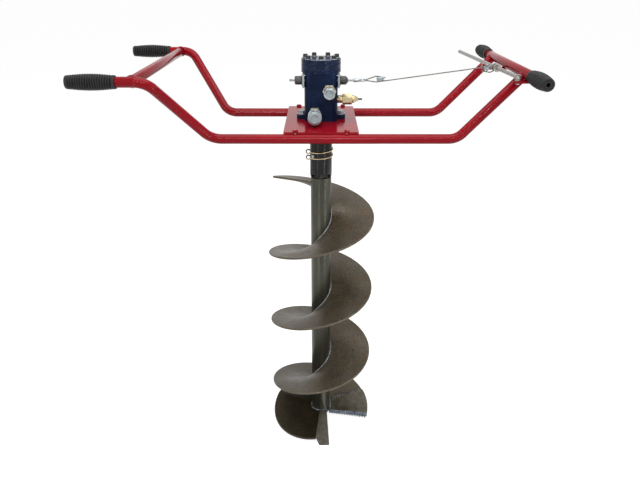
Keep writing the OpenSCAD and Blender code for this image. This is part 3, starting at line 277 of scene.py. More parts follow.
def make_cutter():
    look = Look("cutter_steel", Metallic=0.4)
    stain = look.noise(45, 5, 0.65)
    speck = look.noise(260, 4, 0.7)
    tone = look.ramp(stain, (0.25, paint(58, 53, 42)), (0.5, paint(78, 73, 60)), (0.75, paint(102, 97, 86)))
    look.colour(look.mix(look.spread(speck, 0, 0.7, 0.6, 0.72), tone, paint(176, 176, 172)))
    look.rough(look.spread(stain, 0.3, 0.5))
    return look.bump(speck, 0.3, 0.0008)


def make_hardfacing():
    look = Look("hard_facing", Metallic=0.5)
    grit = look.noise(520, 4, 0.75)
    tint = look.noise(90, 3)
    tone = look.ramp(tint, (0.3, paint(70, 78, 88)), (0.7, paint(120, 131, 143)))
    look.colour(look.mix(look.spread(grit, 0, 0.8, 0.46, 0.62), tone, paint(40, 44, 52)))
    look.rough(look.spread(grit, 0.25, 0.5))
    return look.bump(grit, 0.6, 0.0009)


LOOKS = {
    "frame_red": make_red(),
    "grip_rubber": make_rubber(),
    "motor_navy": make_navy(),
    "motor_black": plain_look("stack_navy", (18, 30, 54), (30, 45, 74), 0.18, 500, 0.05, IOR=1.2),
    "black_bolts": plain_look("black_oxide", (24, 25, 27), (40, 41, 43), 0.42, 700, 0.12, Metallic=0.5),
    "zinc": make_metal("bright_zinc", (126, 133, 136), (170, 178, 182), 0.28, 900, 0.65),
    "yellow_zinc": make_yellow_zinc(),
    "ground_steel": make_metal("ground_steel", (118, 120, 122), (160, 161, 162), 0.24, 1200, 0.7),
    "cable_steel": make_metal("cable_steel", (92, 89, 83), (134, 131, 124), 0.4, 1500, 0.5),
    "cap_grey": plain_look("cap_grey", (50, 48, 45), (68, 65, 61), 0.45, 600, 0.12, Metallic=0.2),
    "seal_rubber": plain_look("seal_rubber", (28, 28, 28), (40, 40, 40), 0.6, 700, 0.15),
    "hub_black": make_hub_black(),
    "pipe_steel": make_pipe_steel(),
    "flight_steel": make_flight_steel(
        "flight_steel", (72, 65, 54), (90, 83, 71), (106, 100, 90), (98, 79, 47)),
    "cutter_steel": make_cutter(),
}
WELD = make_weld()
# The lower flight gets a darker, browner copy of the flight steel: painted shade for the shadow that the
# flights above cast on it.
SHADED_LOW_FLIGHT = make_flight_steel(
    "lower_flight_painted_shade_steel", (34, 29, 18), (46, 40, 25), (62, 55, 38), (56, 45, 25))
LEVER = make_metal("lever_plating", (128, 123, 118), (168, 163, 159), 0.36, 1500, 0.6)
HARD = make_hardfacing()


# Mesh helpers, in millimetres and in the frame's own place

SHARP_ANGLE = math.radians(38)


class Shape:
    """Vertices and faces being gathered for one piece."""

    def __init__(self):
        self.verts = []
        self.faces = []

    def add(self, form):
        verts, faces = form
        base = len(self.verts)
        self.verts += verts
        self.faces += [[i + base for i in face] for face in faces]
        return self


def piece(name, shape, body, slot, stands_for=(), look=None):
    """Makes one piece of the object from a shape in millimetres."""
    mesh = bpy.data.meshes.new(name)
    mesh.from_pydata([Vector(v) * MM for v in shape.verts], [], shape.faces)
    work = bmesh.new()
    work.from_mesh(mesh)
    bmesh.ops.recalc_face_normals(work, faces=work.faces)
    work.to_mesh(mesh)
    work.free()
    mesh.polygons.foreach_set("use_smooth", [True] * len(mesh.polygons))
    mesh.set_sharp_from_angle(angle=SHARP_ANGLE)
    obj = bpy.data.objects.new(name, mesh)
    bpy.context.scene.collection.objects.link(obj)
    mesh.materials.append((look or LOOKS[slot]).material)
    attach(obj, body)
    if stands_for:
        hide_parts(*stands_for)
    return obj


def facing(origin, axis):
    """The place whose local Z runs along an axis from an origin."""
    swing = UP.rotation_difference(Vector(axis)).to_matrix().to_4x4()
    return Matrix.Translation(Vector(origin)) @ swing


def skin(rows, caps=True):
    """Quads between closed rows of equal length, with flat caps on the first and last."""
    verts = [v for row in rows for v in row]
    n = len(rows[0])
    faces = []
    for i in range(len(rows) - 1):
        for k in range(n):
            m = (k + 1) % n
            faces.append([i * n + k, i * n + m, (i + 1) * n + m, (i + 1) * n + k])
    if caps:
        last = (len(rows) - 1) * n
        faces.append(list(range(n))[::-1])
        faces.append(list(range(last, last + n)))
    return verts, faces


def turned(profile, place, steps=56):
    """A half profile turned round local Z: it closes on itself unless it ends on the axis."""
    verts = []
    rows = []
    for r, z in profile:
        if r < 1e-6:
            rows.append([len(verts)])
            verts.append(place @ Vector((0, 0, z)))
        else:
            rows.append(list(range(len(verts), len(verts) + steps)))
            for k in range(steps):
                a = 360 * k / steps
                verts.append(place @ Vector((r * cosd(a), r * sind(a), z)))
    pairs = list(zip(rows, rows[1:]))
    if len(rows[0]) > 1:
        pairs.append((rows[-1], rows[0]))
    faces = []
    for a, b in pairs:
        for k in range(steps):
            m = (k + 1) % steps
            corners = [a[k % len(a)], a[m % len(a)], b[m % len(b)], b[k % len(b)]]
            faces.append(list(dict.fromkeys(corners)))
    return verts, faces


def swept(points, radius, sides=10):
    """A round bar along points; the radius may differ from point to point."""
    pts = [Vector(p) for p in points]
    n = len(pts)
    radii = radius if isinstance(radius, list) else [radius] * n
    along = [(pts[min(i + 1, n - 1)] - pts[max(i - 1, 0)]).normalized() for i in range(n)]
    side = along[0].orthogonal().normalized()
    rows = []
    for i in range(n):
        if i:
            side = along[i - 1].rotation_difference(along[i]) @ side
            side = (side - along[i] * side.dot(along[i])).normalized()
        other = along[i].cross(side)
        rows.append([
            pts[i] + radii[i] * (side * cosd(360 * k / sides) + other * sind(360 * k / sides))
            for k in range(sides)])
    return skin(rows)


def hexagon(af, h, place, bore=0):
    """A hexagon head, or a nut where it has a bore, with its turned chamfer on top."""
    steps = 48
    top_r = 0.96 * af / 2
    fall = math.tan(math.radians(30))
    mouth = 0.6

    def reach(a):
        return af / 2 / cosd((a + 30) % 60 - 30)

    def six_sided(height):
        angles = [360 * k / steps for k in range(steps)]
        return [place @ Vector((reach(a) * cosd(a), reach(a) * sind(a), height(a))) for a in angles]

    def round_row(r, z):
        angles = [360 * k / steps for k in range(steps)]
        return [place @ Vector((r * cosd(a), r * sind(a), z)) for a in angles]
    rows = [
        round_row(top_r, 0), six_sided(lambda a: 0.01), six_sided(lambda a: h - (reach(a) - top_r) * fall),
        round_row(top_r, h)]
    if bore:
        rows += [round_row(bore + mouth, h), round_row(bore, h - mouth), round_row(bore, 0), rows[0]]
        return skin(rows, caps=False)
    return skin(rows)


def washer(r_in, r_out, t, place):
    edge = min(0.4, t / 4)
    profile = [
        (r_in, 0), (r_out - edge, 0), (r_out, edge), (r_out, t - edge), (r_out - edge, t), (r_in, t)]
    return turned(profile, place)


def bead(points, radius, wobble):
    """A weld bead: a bar whose thickness ripples along its run."""
    ripple = [math.sin(2.4 * i) + 0.5 * math.sin(0.71 * i + 1) for i in range(len(points))]
    radii = [radius * (1 + wobble * r) for r in ripple]
    radii[0] = radii[-1] = 0.5 * radius
    return swept(points, radii, 8)


def spring_form(place, r, length, turns, wire):
    """A compression spring along local Z, wound wider apart at its ends than in its middle."""
    steps = 28
    n = int(turns * steps)
    points = []
    for i in range(n + 1):
        share = i / n
        climb = share + 0.045 * math.sin(2 * math.pi * share)
        a = 360 * i / steps
        points.append(place @ Vector((r * cosd(a), r * sind(a), wire / 2 + (length - wire) * climb)))
    return swept(points, wire / 2)


def turned_piece(name, profile, place, body, slot, stands_for, steps=72):
    """Makes one piece of the object from a single turned profile."""
    return piece(name, Shape().add(turned(profile, place, steps)), body, slot, stands_for)


# Sizes shared with the solids

TUBE_R = 12.7
TUBE_Z = 1014.5
HANDLE_Z = TUBE_Z + 166.5
DECK_Z = TUBE_Z + TUBE_R
PLATE_Z = DECK_Z + 6.0
SIDE_Y = 161.5
RIGHT_X = 511.0
RIGHT_GRIP_Y = 214.0
LEFT_Y = 289.5
LEFT_CROSS_X = -440.0
LEFT_GRIP_X = -474.0


# Grips

GRIP_LEN = 116.0
GRIP_COLLAR = 7.0
GRIP_RIBS = 18
GRIP_CAP = 6.0
GRIP_WALL = 2.8
GRIP_SWELL = 3.8
GRIP_VENT_R = 4.5
RIB_DEPTH = 2.4
RIB_STEPS = 8


def grip_r(z):
    return TUBE_R + GRIP_WALL + GRIP_SWELL * sind(180 * z / GRIP_LEN)


def grip_profile():
    """A ribbed grip from its open end to its cap, which has a ring groove and a vent."""
    bore = TUBE_R + 0.02
    profile = [(bore, 0), (grip_r(0) - 0.8, 0), (grip_r(0), 0.8)]
    steps = GRIP_RIBS * RIB_STEPS
    span = GRIP_LEN - 2 * GRIP_COLLAR
    for i in range(steps + 1):
        z = GRIP_COLLAR + span * i / steps
        wave = 0.5 - 0.5 * cosd(360 * GRIP_RIBS * i / steps)
        profile.append((grip_r(z) - RIB_DEPTH * wave ** 1.6, z))
    end_r = grip_r(GRIP_LEN)
    back_from_end = [
        (end_r + 0.4, GRIP_COLLAR - 0.8), (end_r, 2.2), (end_r - 0.7, 0.6), (end_r - 2, 0),
        (10.6, 0), (10.0, 0.8), (9.0, 0.8), (8.4, 0),
        (GRIP_VENT_R + 0.7, 0), (GRIP_VENT_R, 0.7), (GRIP_VENT_R, GRIP_CAP), (bore, GRIP_CAP)]
    return profile + [(r, GRIP_LEN - back) for r, back in back_from_end]


for side, end in ((-1, "front"), (1, "rear")):
    for hand, place in (
            ("right", facing((RIGHT_X, side * RIGHT_GRIP_Y, HANDLE_Z), (0, side, 0))),
            ("left", facing((LEFT_GRIP_X, side * LEFT_Y, HANDLE_Z), (-1, 0, 0)))):
        turned_piece(
            f"{hand}_{end}_rubber_grip", grip_profile(), place, "frame", "grip_rubber",
            [f"{hand}_{end}_grip"], 64)


# Bit: flights with eased rims, their welds, and the cutters

PIPE_R = 30.15
FLIGHT_IN = 30.37
FLIGHT_R = 160.0
FLIGHT_T = 6.5
FLIGHT_TOP = 854.5
FLIGHT_PITCH = 235.5
FLIGHT_LOW_A = -1056.0
FLIGHT_HIGH_A = 156.0
LOWER_FROM = 96.0
LOWER_TO = 264.0
LOWER_IN_Z = 32.0
LOWER_RIM_LOW = 10.0
LOWER_RIM_TOP = 40.0
LOWER_RIM_A = 222.0
LOWER_RIM_BOW = 0.0073


def around(r, a, z):
    return Vector((r * cosd(a), r * sind(a), z))


def flight_z(a):
    return FLIGHT_TOP + FLIGHT_PITCH * (a - 180) / 360


def lower_rim(a):
    """Height of the lower flight's bowed rim."""
    return min(LOWER_RIM_TOP, LOWER_RIM_LOW + LOWER_RIM_BOW * (a - LOWER_RIM_A) ** 2)


def strip(rows, r_in, r_out, t, ease=1.2):
    """A plate that winds round the axis, with eased edges; rows give two angles and two heights."""
    sections = []
    for a_in, a_out, z_in, z_out in rows:
        inner = around(r_in, a_in, z_in)
        outer = around(r_out, a_out, z_out)

        def at(r, dz):
            return inner.lerp(outer, (r - r_in) / (r_out - r_in)) + UP * dz

        def face(side):
            flat = [at(r_in + (r_out - r_in) * share, side * t / 2) for share in (0, 0.25, 0.5, 0.75)]
            rim = [
                at(r_out - out * ease, side * (t / 2 - down * ease))
                for out, down in ((1, 0), (0.3, 0.7), (0, 1))]
            return flat + rim
        sections.append(face(-1) + face(1)[::-1])
    return skin(sections)


def spaced(low, high, step):
    """Even values from low to high, no further apart than a step."""
    n = max(1, math.ceil((high - low) / step))
    return [low + (high - low) * i / n for i in range(n + 1)]


main = Shape().add(strip(
    [(a, a, flight_z(a), flight_z(a)) for a in spaced(FLIGHT_LOW_A, FLIGHT_HIGH_A, 3)],
    FLIGHT_IN, FLIGHT_R, FLIGHT_T))
piece("main_flight_plate", main, "bit", "flight_steel", ["main_flight"])
# The lower flight wears the darker copy of the flight steel, painted shade for the shadow of the flights
# above.
lower = Shape().add(strip(
    [(a, a, LOWER_IN_Z, lower_rim(a)) for a in spaced(LOWER_FROM, LOWER_TO, 3)],
    FLIGHT_IN, FLIGHT_R, FLIGHT_T))
piece("lower_flight_plate", lower, "bit", "flight_steel", ["lower_flight"], SHADED_LOW_FLIGHT)

WELD_R = PIPE_R + 1.4
WELD_LIFT = FLIGHT_T / 2 + 1.2
welds = Shape()
for side in (-1, 1):
    lift = side * WELD_LIFT
    main_run = spaced(FLIGHT_LOW_A + 2, FLIGHT_HIGH_A - 2, 4)
    lower_run = spaced(LOWER_FROM + 2, LOWER_TO - 2, 4)
    welds.add(bead([around(WELD_R, a, flight_z(a) + lift) for a in main_run], 1.9, 0.25))
    welds.add(bead([around(WELD_R, a, LOWER_IN_Z + lift) for a in lower_run], 2.1, 0.2))
piece("flight_weld_beads", welds, "bit", "flight_steel", look=WELD)

CUT_R = 163.0
CUT_OUT = CUT_R - 1.5
CUT_IN = 34.15
CUT_LOW_A = -1097.0
CUT_HIGH_A = -1056.3
CUT_T = 10.0
CUT_SKEW = 21.0
TOOTH_ROOM = 5.0
TEETH = 15


def cut_lead(a):
    """Angle of the side cutter's inner edge where its outer edge is at an angle."""
    return a - CUT_SKEW * (CUT_HIGH_A - a) / (CUT_HIGH_A - CUT_LOW_A)


def cut_point(share, a, dz):
    """A point on the side cutter, at a share of the way from its inner to its outer edge."""
    z = flight_z(a) + dz
    return around(CUT_IN, cut_lead(a), z).lerp(around(CUT_OUT, a, z), share)


blades = Shape().add(strip(
    [(cut_lead(a), a, flight_z(a), flight_z(a)) for a in spaced(CUT_LOW_A + TOOTH_ROOM, CUT_HIGH_A, 4)],
    CUT_IN, CUT_OUT, CUT_T, 1.0))
BLADE_IN_Y = -PIPE_R - 0.3
BLADE_OUT_Y = -CUT_R
BLADE_EASE = 1.2
BLADE_STEPS = 12


def blade_section(share):
    """The front cutter's outline at a share of its way out, eased at its corners."""
    inner = [(-2.5, 40), (20, 37), (20, 8), (-2.5, 8)]
    outer = [(-16.4, 30), (27, 10), (27, 0), (-5, 0)]
    y = BLADE_IN_Y + (BLADE_OUT_Y - BLADE_IN_Y) * share
    corners = [
        Vector((a[0] + (b[0] - a[0]) * share, y, a[1] + (b[1] - a[1]) * share))
        for a, b in zip(inner, outer)]
    eased = []
    for i, corner in enumerate(corners):
        before = (corners[i - 1] - corner).normalized()
        after = (corners[(i + 1) % 4] - corner).normalized()
        eased += [corner + before * BLADE_EASE, corner + after * BLADE_EASE]
    return eased


blades.add(skin([blade_section(s / BLADE_STEPS) for s in range(BLADE_STEPS + 1)]))
piece("cutter_plates", blades, "bit", "cutter_steel", ["cutter_blades"])

teeth = Shape()
TOOTH_BACK_A = CUT_LOW_A + TOOTH_ROOM + 0.2
TOOTH_LIP = (-1.4, -4.2)
TOOTH_OUTLINE = ((0, 2.2), (0.1, 0.4), (0.3, 0.1), (0.55, 0.4), (0.65, 2.2), (1, 2.2))


def tooth_section(share, edge_a):
    """The toothed edge's outline at a share of its length, thinning towards its front."""
    lip = [cut_point(share, edge_a, dz) for dz in TOOTH_LIP]
    return [cut_point(share, TOOTH_BACK_A, CUT_T / 2), *lip, cut_point(share, TOOTH_BACK_A, -CUT_T / 2)]


for i in range(TEETH):
    teeth.add(skin([
        tooth_section((i + share) / TEETH, CUT_LOW_A + back) for share, back in TOOTH_OUTLINE]))
teeth.add(bead([Vector((x, -PIPE_R - 1.2, 39 - 0.14 * x)) for x in spaced(-2, 18, 2)], 2.2, 0.2))
piece("hard_faced_teeth", teeth, "bit", "cutter_steel", look=HARD)

TACK_LEN = 7.0
TACK_EVERY = 10
cutter_welds = Shape()
for side in (-1, 1):
    seam_z = flight_z(CUT_HIGH_A) + 4.8 * side
    for start in range(40, 150, TACK_EVERY):
        run = spaced(start, start + TACK_LEN, 1.4)
        cutter_welds.add(bead([around(r, CUT_HIGH_A + 0.4, seam_z) for r in run], 3.0, 0.3))
    edge_run = spaced(CUT_LOW_A + TOOTH_ROOM, CUT_HIGH_A, 1)
    cutter_welds.add(bead(
        [around(PIPE_R + 2.2, cut_lead(a), flight_z(a) + 2.6 * side) for a in edge_run], 3.0, 0.2))
piece("cutter_weld_beads", cutter_welds, "bit", "cutter_steel", look=WELD)


# Hub's lock wire: two turns that rise, with an eye bent into each on the left

WIRE_R = 1.75
WIRE_RING_R = 33.8
WIRE_Z = 921.15
WIRE_MID_A = 228.0
WIRE_RISE = 17.0
EYE_R = 4.5
EYE_HALF_A = 22.0


def wire_point(a):
    off = (a % 360) - 180
    w = 180 + 180 * off / EYE_HALF_A if abs(off) < EYE_HALF_A else 0
    r = WIRE_RING_R + EYE_R * (1 - cosd(w))
    return around(r, a, WIRE_Z + WIRE_RISE * (a - WIRE_MID_A) / 360 + EYE_R * sind(w))


lock_wire = Shape().add(swept([wire_point(a) for a in spaced(20, 740, 2)], WIRE_R, 12))
piece("lock_ring_wire", lock_wire, "bit", "zinc", ["lock_ring"], LOOKS["yellow_zinc"])


# Throttle cable in its own tilted frame

SPOOL_Y = -32.0
SPOOL_Z = PLATE_Z + 110.0
PIVOT = Vector((482.3, -194.0, HANDLE_Z - 4.1))
BAR_ANGLE = 4.4
BAR_R = 5.0
LOOP_X = 116.5
CABLE_R = 1.6
CABLE_GAP = 0.4
bar_x = PIVOT.x - (-PIVOT.y + SPOOL_Y) * math.tan(math.radians(BAR_ANGLE))
cable_run = Vector((bar_x - LOOP_X, 0, PIVOT.z - SPOOL_Z))
cable_place = Matrix.Translation((LOOP_X, SPOOL_Y, SPOOL_Z)) @ Matrix.Rotation(
    -math.atan2(cable_run.z, cable_run.x), 4, "Y")
LOOP_R = BAR_R + CABLE_R + CABLE_GAP
LOOP_END = cable_run.length + LOOP_R
LOOP_HALF = 1.35 * LOOP_R
LEVER_LOOP_HALF = 1.86 * LOOP_R
HALF_STEP = 1.7
LOOP_TAPER = 32.0
FIRST_END = 58.0
CLIP_AT = LOOP_END - 38
CLIP_PAST = CLIP_AT + 16
LAST_END = CLIP_AT - 8
CABLE_ROUTE = [
    (FIRST_END, 0, HALF_STEP), (LOOP_TAPER, 0, HALF_STEP), (0, 0, LOOP_HALF), (0, 0, -LOOP_HALF),
    (LOOP_TAPER, 0, -HALF_STEP), (CLIP_PAST, 0, -HALF_STEP), (LOOP_END, 0, LEVER_LOOP_HALF),
    (LOOP_END, 0, -LEVER_LOOP_HALF - 2 * HALF_STEP), (CLIP_PAST, 0, -3 * HALF_STEP),
    (LAST_END, 0, -3 * HALF_STEP)]


def rounded_route(points, r, step):
    """Points along a route with its corners rounded."""
    pts = [Vector(p) for p in points]
    path = [pts[0]]
    for i in range(1, len(pts) - 1):
        back = (pts[i - 1] - pts[i]).normalized()
        ahead = (pts[i + 1] - pts[i]).normalized()
        turn = math.pi - back.angle(ahead)
        reach = r * math.tan(turn / 2)
        centre = pts[i] + (back + ahead).normalized() * (r / math.cos(turn / 2))
        start = pts[i] + back * reach - centre
        finish = pts[i] + ahead * reach - centre
        n = max(2, int(math.degrees(turn) / 9))
        path += [centre + start.slerp(finish, k / n) for k in range(n + 1)]
    path.append(pts[-1])
    fine = [path[0]]
    for a, b in zip(path, path[1:]):
        n = max(1, int((b - a).length / step))
        fine += [a + (b - a) * (k + 1) / n for k in range(n)]
    return fine


def stranded(points, r, strands, lay):
    """A rope of round strands twisted round a route."""
    n = len(points)
    along = [(points[min(i + 1, n - 1)] - points[max(i - 1, 0)]).normalized() for i in range(n)]
    side = along[0].orthogonal().normalized()
    travelled = 0.0
    frames = []
    for i in range(n):
        if i:
            side = along[i - 1].rotation_difference(along[i]) @ side
            side = (side - along[i] * side.dot(along[i])).normalized()
            travelled += (points[i] - points[i - 1]).length
        frames.append((points[i], side.copy(), along[i].cross(side), 360 * travelled / lay))
    strand_r = r * 0.36
    shape = Shape()
    for s in range(strands):
        shape.add(swept([
            p + (r - strand_r) * (u * cosd(w + 360 * s / strands) + v * sind(w + 360 * s / strands))
            for p, u, v, w in frames], strand_r, 6))
    shape.add(swept(points, strand_r * 1.1, 6))
    return shape


rope_points = [cable_place @ p for p in rounded_route(CABLE_ROUTE, LOOP_R, 1.6)]
rope = stranded(rope_points, CABLE_R, 6, 22)
piece("throttle_wire_rope", rope, "spool", "cable_steel", ["throttle_cable"])


# Springs

COUPLER_Y = -70.5
SOCKET = (-17.0, PLATE_Z + 25.5)
PLUG = (22.0, PLATE_Z + 86.0)
LEFT = (-1, 0, 0)
FRONT = (0, -1, 0)


def sprung(name, node, origin, axis, r, length, turns, wire):
    """A spring coil on the frame, drawn at its full length and given a mesh of its own."""
    form = spring_form(facing(origin, axis), r, length, turns, wire)
    coil = piece(name, Shape().add(form), "frame", "ground_steel", [node])
    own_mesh(coil)


sprung(
    "spool_spring_coil", "spool_spring", (-50.5, SPOOL_Y, SPOOL_Z), LEFT,
    r=5.75, length=15.4, turns=4, wire=1.2)
sprung(
    "relief_spring_coil", "relief_spring", (76.2, -30, PLATE_Z + 59), LEFT,
    r=3.7, length=36.1, turns=9, wire=1.3)
sprung(
    "sleeve_spring_coil", "sleeve_spring", (SOCKET[0], COUPLER_Y - 26.3, SOCKET[1]), FRONT,
    r=16.4, length=15.4, turns=4, wire=0.8)
for name, (x, z), length, turns in (("socket", SOCKET, 34.4, 6), ("plug", PLUG, 18.4, 4)):
    sprung(
        f"{name}_poppet_coil", "poppet_springs", (x, COUPLER_Y - 5.3, z), FRONT,
        r=7.6, length=length, turns=turns, wire=1.6)


# Bolts

COVER_TOP = PLATE_Z + 164
COVER_BOLTS = 7
COVER_CIRCLE_R = 44.0
FLANGE_X = 53.2
FLANGE_TOP = PLATE_Z + 12
FLANGE_AF = 19.2
FLANGE_WASHER_T = 2.5
CORNER_X = 67
CORNER_AF = 12.8

socket_head = [
    (0, 2), (5.6, 2), (6.4, 2.5), (6.4, 9.3), (5.9, 10), (3.5, 10), (3.0, 9.6), (3.0, 6.2), (0, 6.0)]
cover_bolts = Shape()
washers = Shape()
for i in range(COVER_BOLTS):
    place = Matrix.Translation(around(COVER_CIRCLE_R, 270 + 360 * i / COVER_BOLTS, COVER_TOP))
    washers.add(washer(4.05, 8.6, 2, place))
    cover_bolts.add(turned(socket_head, place, 40))
piece("cover_bolt_heads", cover_bolts, "frame", "black_bolts", ["cover_bolts"])
piece("cover_bolt_washers", washers, "frame", "zinc")

flange = Shape()
for x in (-FLANGE_X, FLANGE_X):
    place = Matrix.Translation((x, 0, FLANGE_TOP))
    above = Matrix.Translation((x, 0, FLANGE_TOP + FLANGE_WASHER_T)) @ Matrix.Rotation(0.3, 4, "Z")
    below = Matrix.Translation((x, 0, DECK_Z)) @ Matrix.Rotation(math.pi, 4, "X")
    flange.add(washer(6.1, 14, FLANGE_WASHER_T, place))
    flange.add(hexagon(FLANGE_AF, 7.8, above))
    flange.add(hexagon(FLANGE_AF, 9.6, below, 6.0))
    flange.add(turned([(0, 0), (5.98, 0), (5.98, 11.5), (5.2, 12.4), (0, 12.4)], below, 32))
piece("flange_bolt_set", flange, "frame", "zinc", ["flange_bolts"])

corner = Shape()
for x in (-CORNER_X, CORNER_X):
    for y in (-SIDE_Y, SIDE_Y):
        place = Matrix.Translation((x, y, PLATE_Z)) @ Matrix.Rotation(0.2 + 0.01 * x, 4, "Z")
        corner.add(hexagon(CORNER_AF, 5.2, place))
        corner.add(turned([(4, 0), (7.6, 0), (7.6, 0.5), (7.3, 0.8), (4, 0.8)], place, 36))
piece("plate_corner_bolts", corner, "frame", "frame_red", ["plate_bolts"])


# Couplers

def port_place(x, z):
    return facing((x, COUPLER_Y, z), FRONT)


socket_profile = [
    (4, 0), (16.0, 0), (16.6, 0.6), (16.6, 7.4), (16.0, 8), (15, 8.6), (15, 21.6), (16.0, 22), (16.6, 22.5),
    (16.6, 25.5), (16.0, 26), (15, 26), (15, 54.6), (14.4, 55.6), (13.4, 56), (10.6, 56), (10.0, 55.4),
    (10, 5), (4, 5)]
turned_piece(
    "socket_coupler_body", socket_profile, port_place(*SOCKET), "frame", "zinc", ["socket_coupler"])
sleeve_profile = [(16.9, 28), (17.5, 28), (18.5, 29)]
for i in range(4):
    z = 31 + 3.0 * i
    sleeve_profile += [(18.5, z), (17.8, z + 0.5), (17.8, z + 1.1), (18.5, z + 1.6)]
sleeve_profile += [
    (18.5, 52.6), (17.8, 53.7), (17.2, 54), (15.2, 54), (15.05, 53.8), (15.05, 42), (16.9, 42)]
turned_piece("sliding_sleeve", sleeve_profile, port_place(*SOCKET), "sleeve", "zinc", ["coupler_sleeve"])
plug_profile = [
    (4, 0), (14.2, 0), (15, 0.8), (15, 24.4), (13.2, 25), (13.2, 29.6), (15, 30.2), (15, 37.6),
    (14.1, 39.4), (12.9, 40), (10.6, 40), (10, 39.4), (10, 5), (4, 5)]
turned_piece("plug_coupler_body", plug_profile, port_place(*PLUG), "frame", "zinc", ["plug_coupler"])
for name, port, length in (("socket", SOCKET, 56), ("plug", PLUG, 40)):
    front = length - 1
    poppet = [
        (0, front - 15), (9.2, front - 15), (9.95, front - 14.3), (9.95, front - 0.6), (9.3, front),
        (7.4, front), (7.0, front - 0.4), (6.4, front - 0.4), (6.0, front), (0, front)]
    turned_piece(
        f"{name}_flat_face", poppet, port_place(*port), f"{name}_poppet", "zinc", [f"{name}_poppet"], 56)


# Welds on the frame

def left_joint(a, side):
    """A point round the left cross tube, where it meets an arm."""
    r = TUBE_R + 0.6
    return Vector((
        LEFT_CROSS_X + r * cosd(a), side * (LEFT_Y - 11.4 + 3.4 * sind(a) ** 2), HANDLE_Z + r * sind(a)))


def right_joint(a, side):
    """A point round a frame tube's end, where it meets the right cross tube."""
    r = TUBE_R + 0.4
    return Vector((
        RIGHT_X - 9.5 - 5.5 * cosd(a), side * (SIDE_Y + r * sind(a)), HANDLE_Z - 9.5 + 6.5 * cosd(a)))


TAB_HALF = 12.0
GUIDE_Y = 24.0
GUIDE_HALF = 11.0
UNDER_Z = HANDLE_Z - TUBE_R - 0.6
frame_welds = Shape()
for side in (-1, 1):
    for joint in (left_joint, right_joint):
        frame_welds.add(bead([joint(a, side) for a in spaced(0, 360, 8)], 2.0, 0.12))
for y, half in ((PIVOT.y, TAB_HALF), (GUIDE_Y, GUIDE_HALF)):
    for edge in (-half, half):
        run = spaced(RIGHT_X - 7, RIGHT_X + 6, 1.5)
        frame_welds.add(bead([Vector((x, y + edge, UNDER_Z)) for x in run], 1.6, 0.15))
piece("frame_weld_beads", frame_welds, "frame", "frame_red")


# Finishes of the solids that stay as they are, with the width of their eased edges

EDGE_WIDTH = {
    "front_frame_tube": 0.4, "rear_frame_tube": 0.4, "left_cross_tube": 0.4, "right_cross_tube": 0.4,
    "motor_plate": 1.0, "lever_tab": 0.8, "lever_guide": 0.8, "lever_pivot_bolt": 0.4,
    "motor_housing": 1.2, "wear_plate": 0.2, "rotor_ring": 0.2, "end_cover": 0.9, "end_plates": 0.5,
    "end_plate_screws": 0.3, "spring_cap": 1.0, "cable_boot": 0.5, "relief_body": 0.6, "relief_cap": 0.5,
    "relief_screw": 0.3, "port_adapters": 0.6, "spool_eye": 0.3, "cable_ferrule": 0.5, "clip_saddle": 0.6,
    "clip_u_bolt": 0.2, "clip_nuts": 0.4, "throttle_lever": 0.6, "auger_hub": 0.7, "auger_pipe": 0.5,
    "lock_pin": 0.5, "housing_plugs": 0.4, "spool": 0.3, "output_shaft": 0.4,
}
slot_of = {row["node"]: row["material_slot"] for row in frame["record"]["subparts"]}


def finish_node(name, obj):
    slot = slot_of.get(name)
    if name in ("wear_plate", "rotor_ring", "end_cover"):
        look = LOOKS["motor_black"]
    elif name in ("throttle_lever", "lever_pivot_bolt"):
        look = LEVER
    else:
        look = LOOKS.get(slot, LOOKS["ground_steel"])
    obj.data.materials.clear()
    obj.data.materials.append(look.material)
    weld = obj.modifiers.new("weld", "WELD")
    weld.merge_threshold = 0.00002
    flat = obj.modifiers.new("dissolve", "DECIMATE")
    flat.decimate_type = "DISSOLVE"
    flat.angle_limit = math.radians(0.6)
    if name in EDGE_WIDTH:
        edge = obj.modifiers.new("edge", "BEVEL")
        edge.width = EDGE_WIDTH[name] * MM
        edge.segments = 2
        edge.limit_method = "ANGLE"
        edge.angle_limit = SHARP_ANGLE
        edge.harden_normals = True


for name, obj in frame["nodes"].items():
    finish_node(name, obj)


# Floor, light and camera

def white_for_view(nodes, links, diffuse_strength):
    """Strength 1 for what the camera, mirrors and glass see, and a plain level for the rest."""
    path = nodes.new("ShaderNodeLightPath")
    seen = path.outputs["Is Camera Ray"]
    for ray in ("Is Glossy Ray", "Is Transmission Ray"):
        either = nodes.new("ShaderNodeMath")
        either.operation = "MAXIMUM"
        links.new(seen, either.inputs[0])
        links.new(path.outputs[ray], either.inputs[1])
        seen = either.outputs[0]
    level = nodes.new("ShaderNodeMapRange")
    level.inputs["To Min"].default_value = diffuse_strength
    level.inputs["To Max"].default_value = 1.0
    links.new(seen, level.inputs["Value"])
    return level.outputs["Result"]


WORLD_LIGHT = 0.27
FLOOR_HALF = 30.0
FLOOR_GREY = 0.5
FLOOR_GLOW = 0.85

world = bpy.data.worlds.new("studio")
bpy.context.scene.world = world
world.use_nodes = True
sky = world.node_tree.nodes["Background"]
sky.inputs["Color"].default_value = (1, 1, 1, 1)
world.node_tree.links.new(
    white_for_view(world.node_tree.nodes, world.node_tree.links, WORLD_LIGHT), sky.inputs["Strength"])

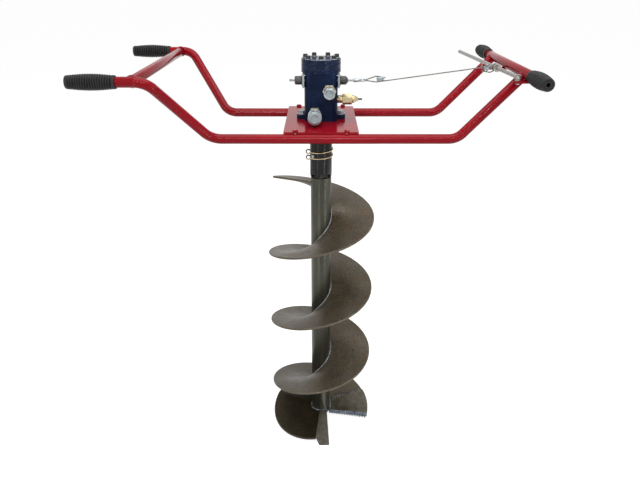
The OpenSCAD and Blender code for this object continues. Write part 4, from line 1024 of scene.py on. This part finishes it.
floor_mesh = bpy.data.meshes.new("studio_floor")
floor_corners = [(x * FLOOR_HALF, y * FLOOR_HALF, 0) for x, y in ((-1, -1), (1, -1), (1, 1), (-1, 1))]
floor_mesh.from_pydata(floor_corners, [], [(0, 1, 2, 3)])
floor = bpy.data.objects.new("studio_floor", floor_mesh)
bpy.context.scene.collection.objects.link(floor)
floor_look = bpy.data.materials.new("studio_floor")
floor_look.use_nodes = True
floor_nodes = floor_look.node_tree.nodes
floor_links = floor_look.node_tree.links
floor_nodes.remove(floor_nodes["Principled BSDF"])
matt = floor_nodes.new("ShaderNodeBsdfDiffuse")
matt.inputs["Color"].default_value = (FLOOR_GREY, FLOOR_GREY, FLOOR_GREY, 1)
glow = floor_nodes.new("ShaderNodeEmission")
floor_links.new(white_for_view(floor_nodes, floor_links, 0.0), glow.inputs["Strength"])
glow.inputs["Color"].default_value = (FLOOR_GLOW, FLOOR_GLOW, FLOOR_GLOW, 1)
both = floor_nodes.new("ShaderNodeAddShader")
floor_links.new(matt.outputs[0], both.inputs[0])
floor_links.new(glow.outputs[0], both.inputs[1])
floor_links.new(both.outputs[0], floor_nodes["Material Output"].inputs["Surface"])
floor_mesh.materials.append(floor_look)


def softbox(name, place, target, width, height, power):
    """A soft lamp, in metres and watts, that the camera doesn't see."""
    lamp = bpy.data.lights.new(name, "AREA")
    lamp.shape = "RECTANGLE"
    lamp.size = width
    lamp.size_y = height
    lamp.energy = power
    obj = bpy.data.objects.new(name, lamp)
    obj.location = place
    obj.rotation_euler = (Vector(target) - Vector(place)).to_track_quat("-Z", "Y").to_euler()
    obj.visible_camera = False
    bpy.context.scene.collection.objects.link(obj)


softbox("overhead", (0.2, -0.3, 3.4), (0, 0, 0.9), 2.6, 2.2, 58)
softbox("left_fill", (-2.8, -1.6, 1.9), (0, 0, 0.7), 1.6, 1.8, 17)
softbox("right_fill", (2.6, -1.2, 1.6), (0, 0, 0.7), 1.2, 1.8, 7)
softbox("front_key", (0, -2.6, 2.2), (0, 0, 1.0), 2.4, 0.14, 26)
softbox("left_strip", (-0.9, -1.5, 0.45), (0, 0, 0.9), 0.16, 1.0, 3)
softbox("right_strip", (1.1, -1.4, 0.45), (0, 0, 0.9), 0.12, 1.0, 5)

CAMERA_PLACE = (-0.0029, -1.7567, 1.4258)
CAMERA_TILT = math.radians(66.36)
camera = bpy.data.cameras.new("photo_view")
camera.sensor_width = 36
camera.lens = 35.16
view = bpy.data.objects.new("photo_view", camera)
view.location = CAMERA_PLACE
view.rotation_euler = (CAMERA_TILT, 0, 0)
bpy.context.scene.collection.objects.link(view)
bpy.context.scene.camera = view
bpy.context.scene.view_settings.view_transform = "Standard"

bpy.context.view_layer.update()
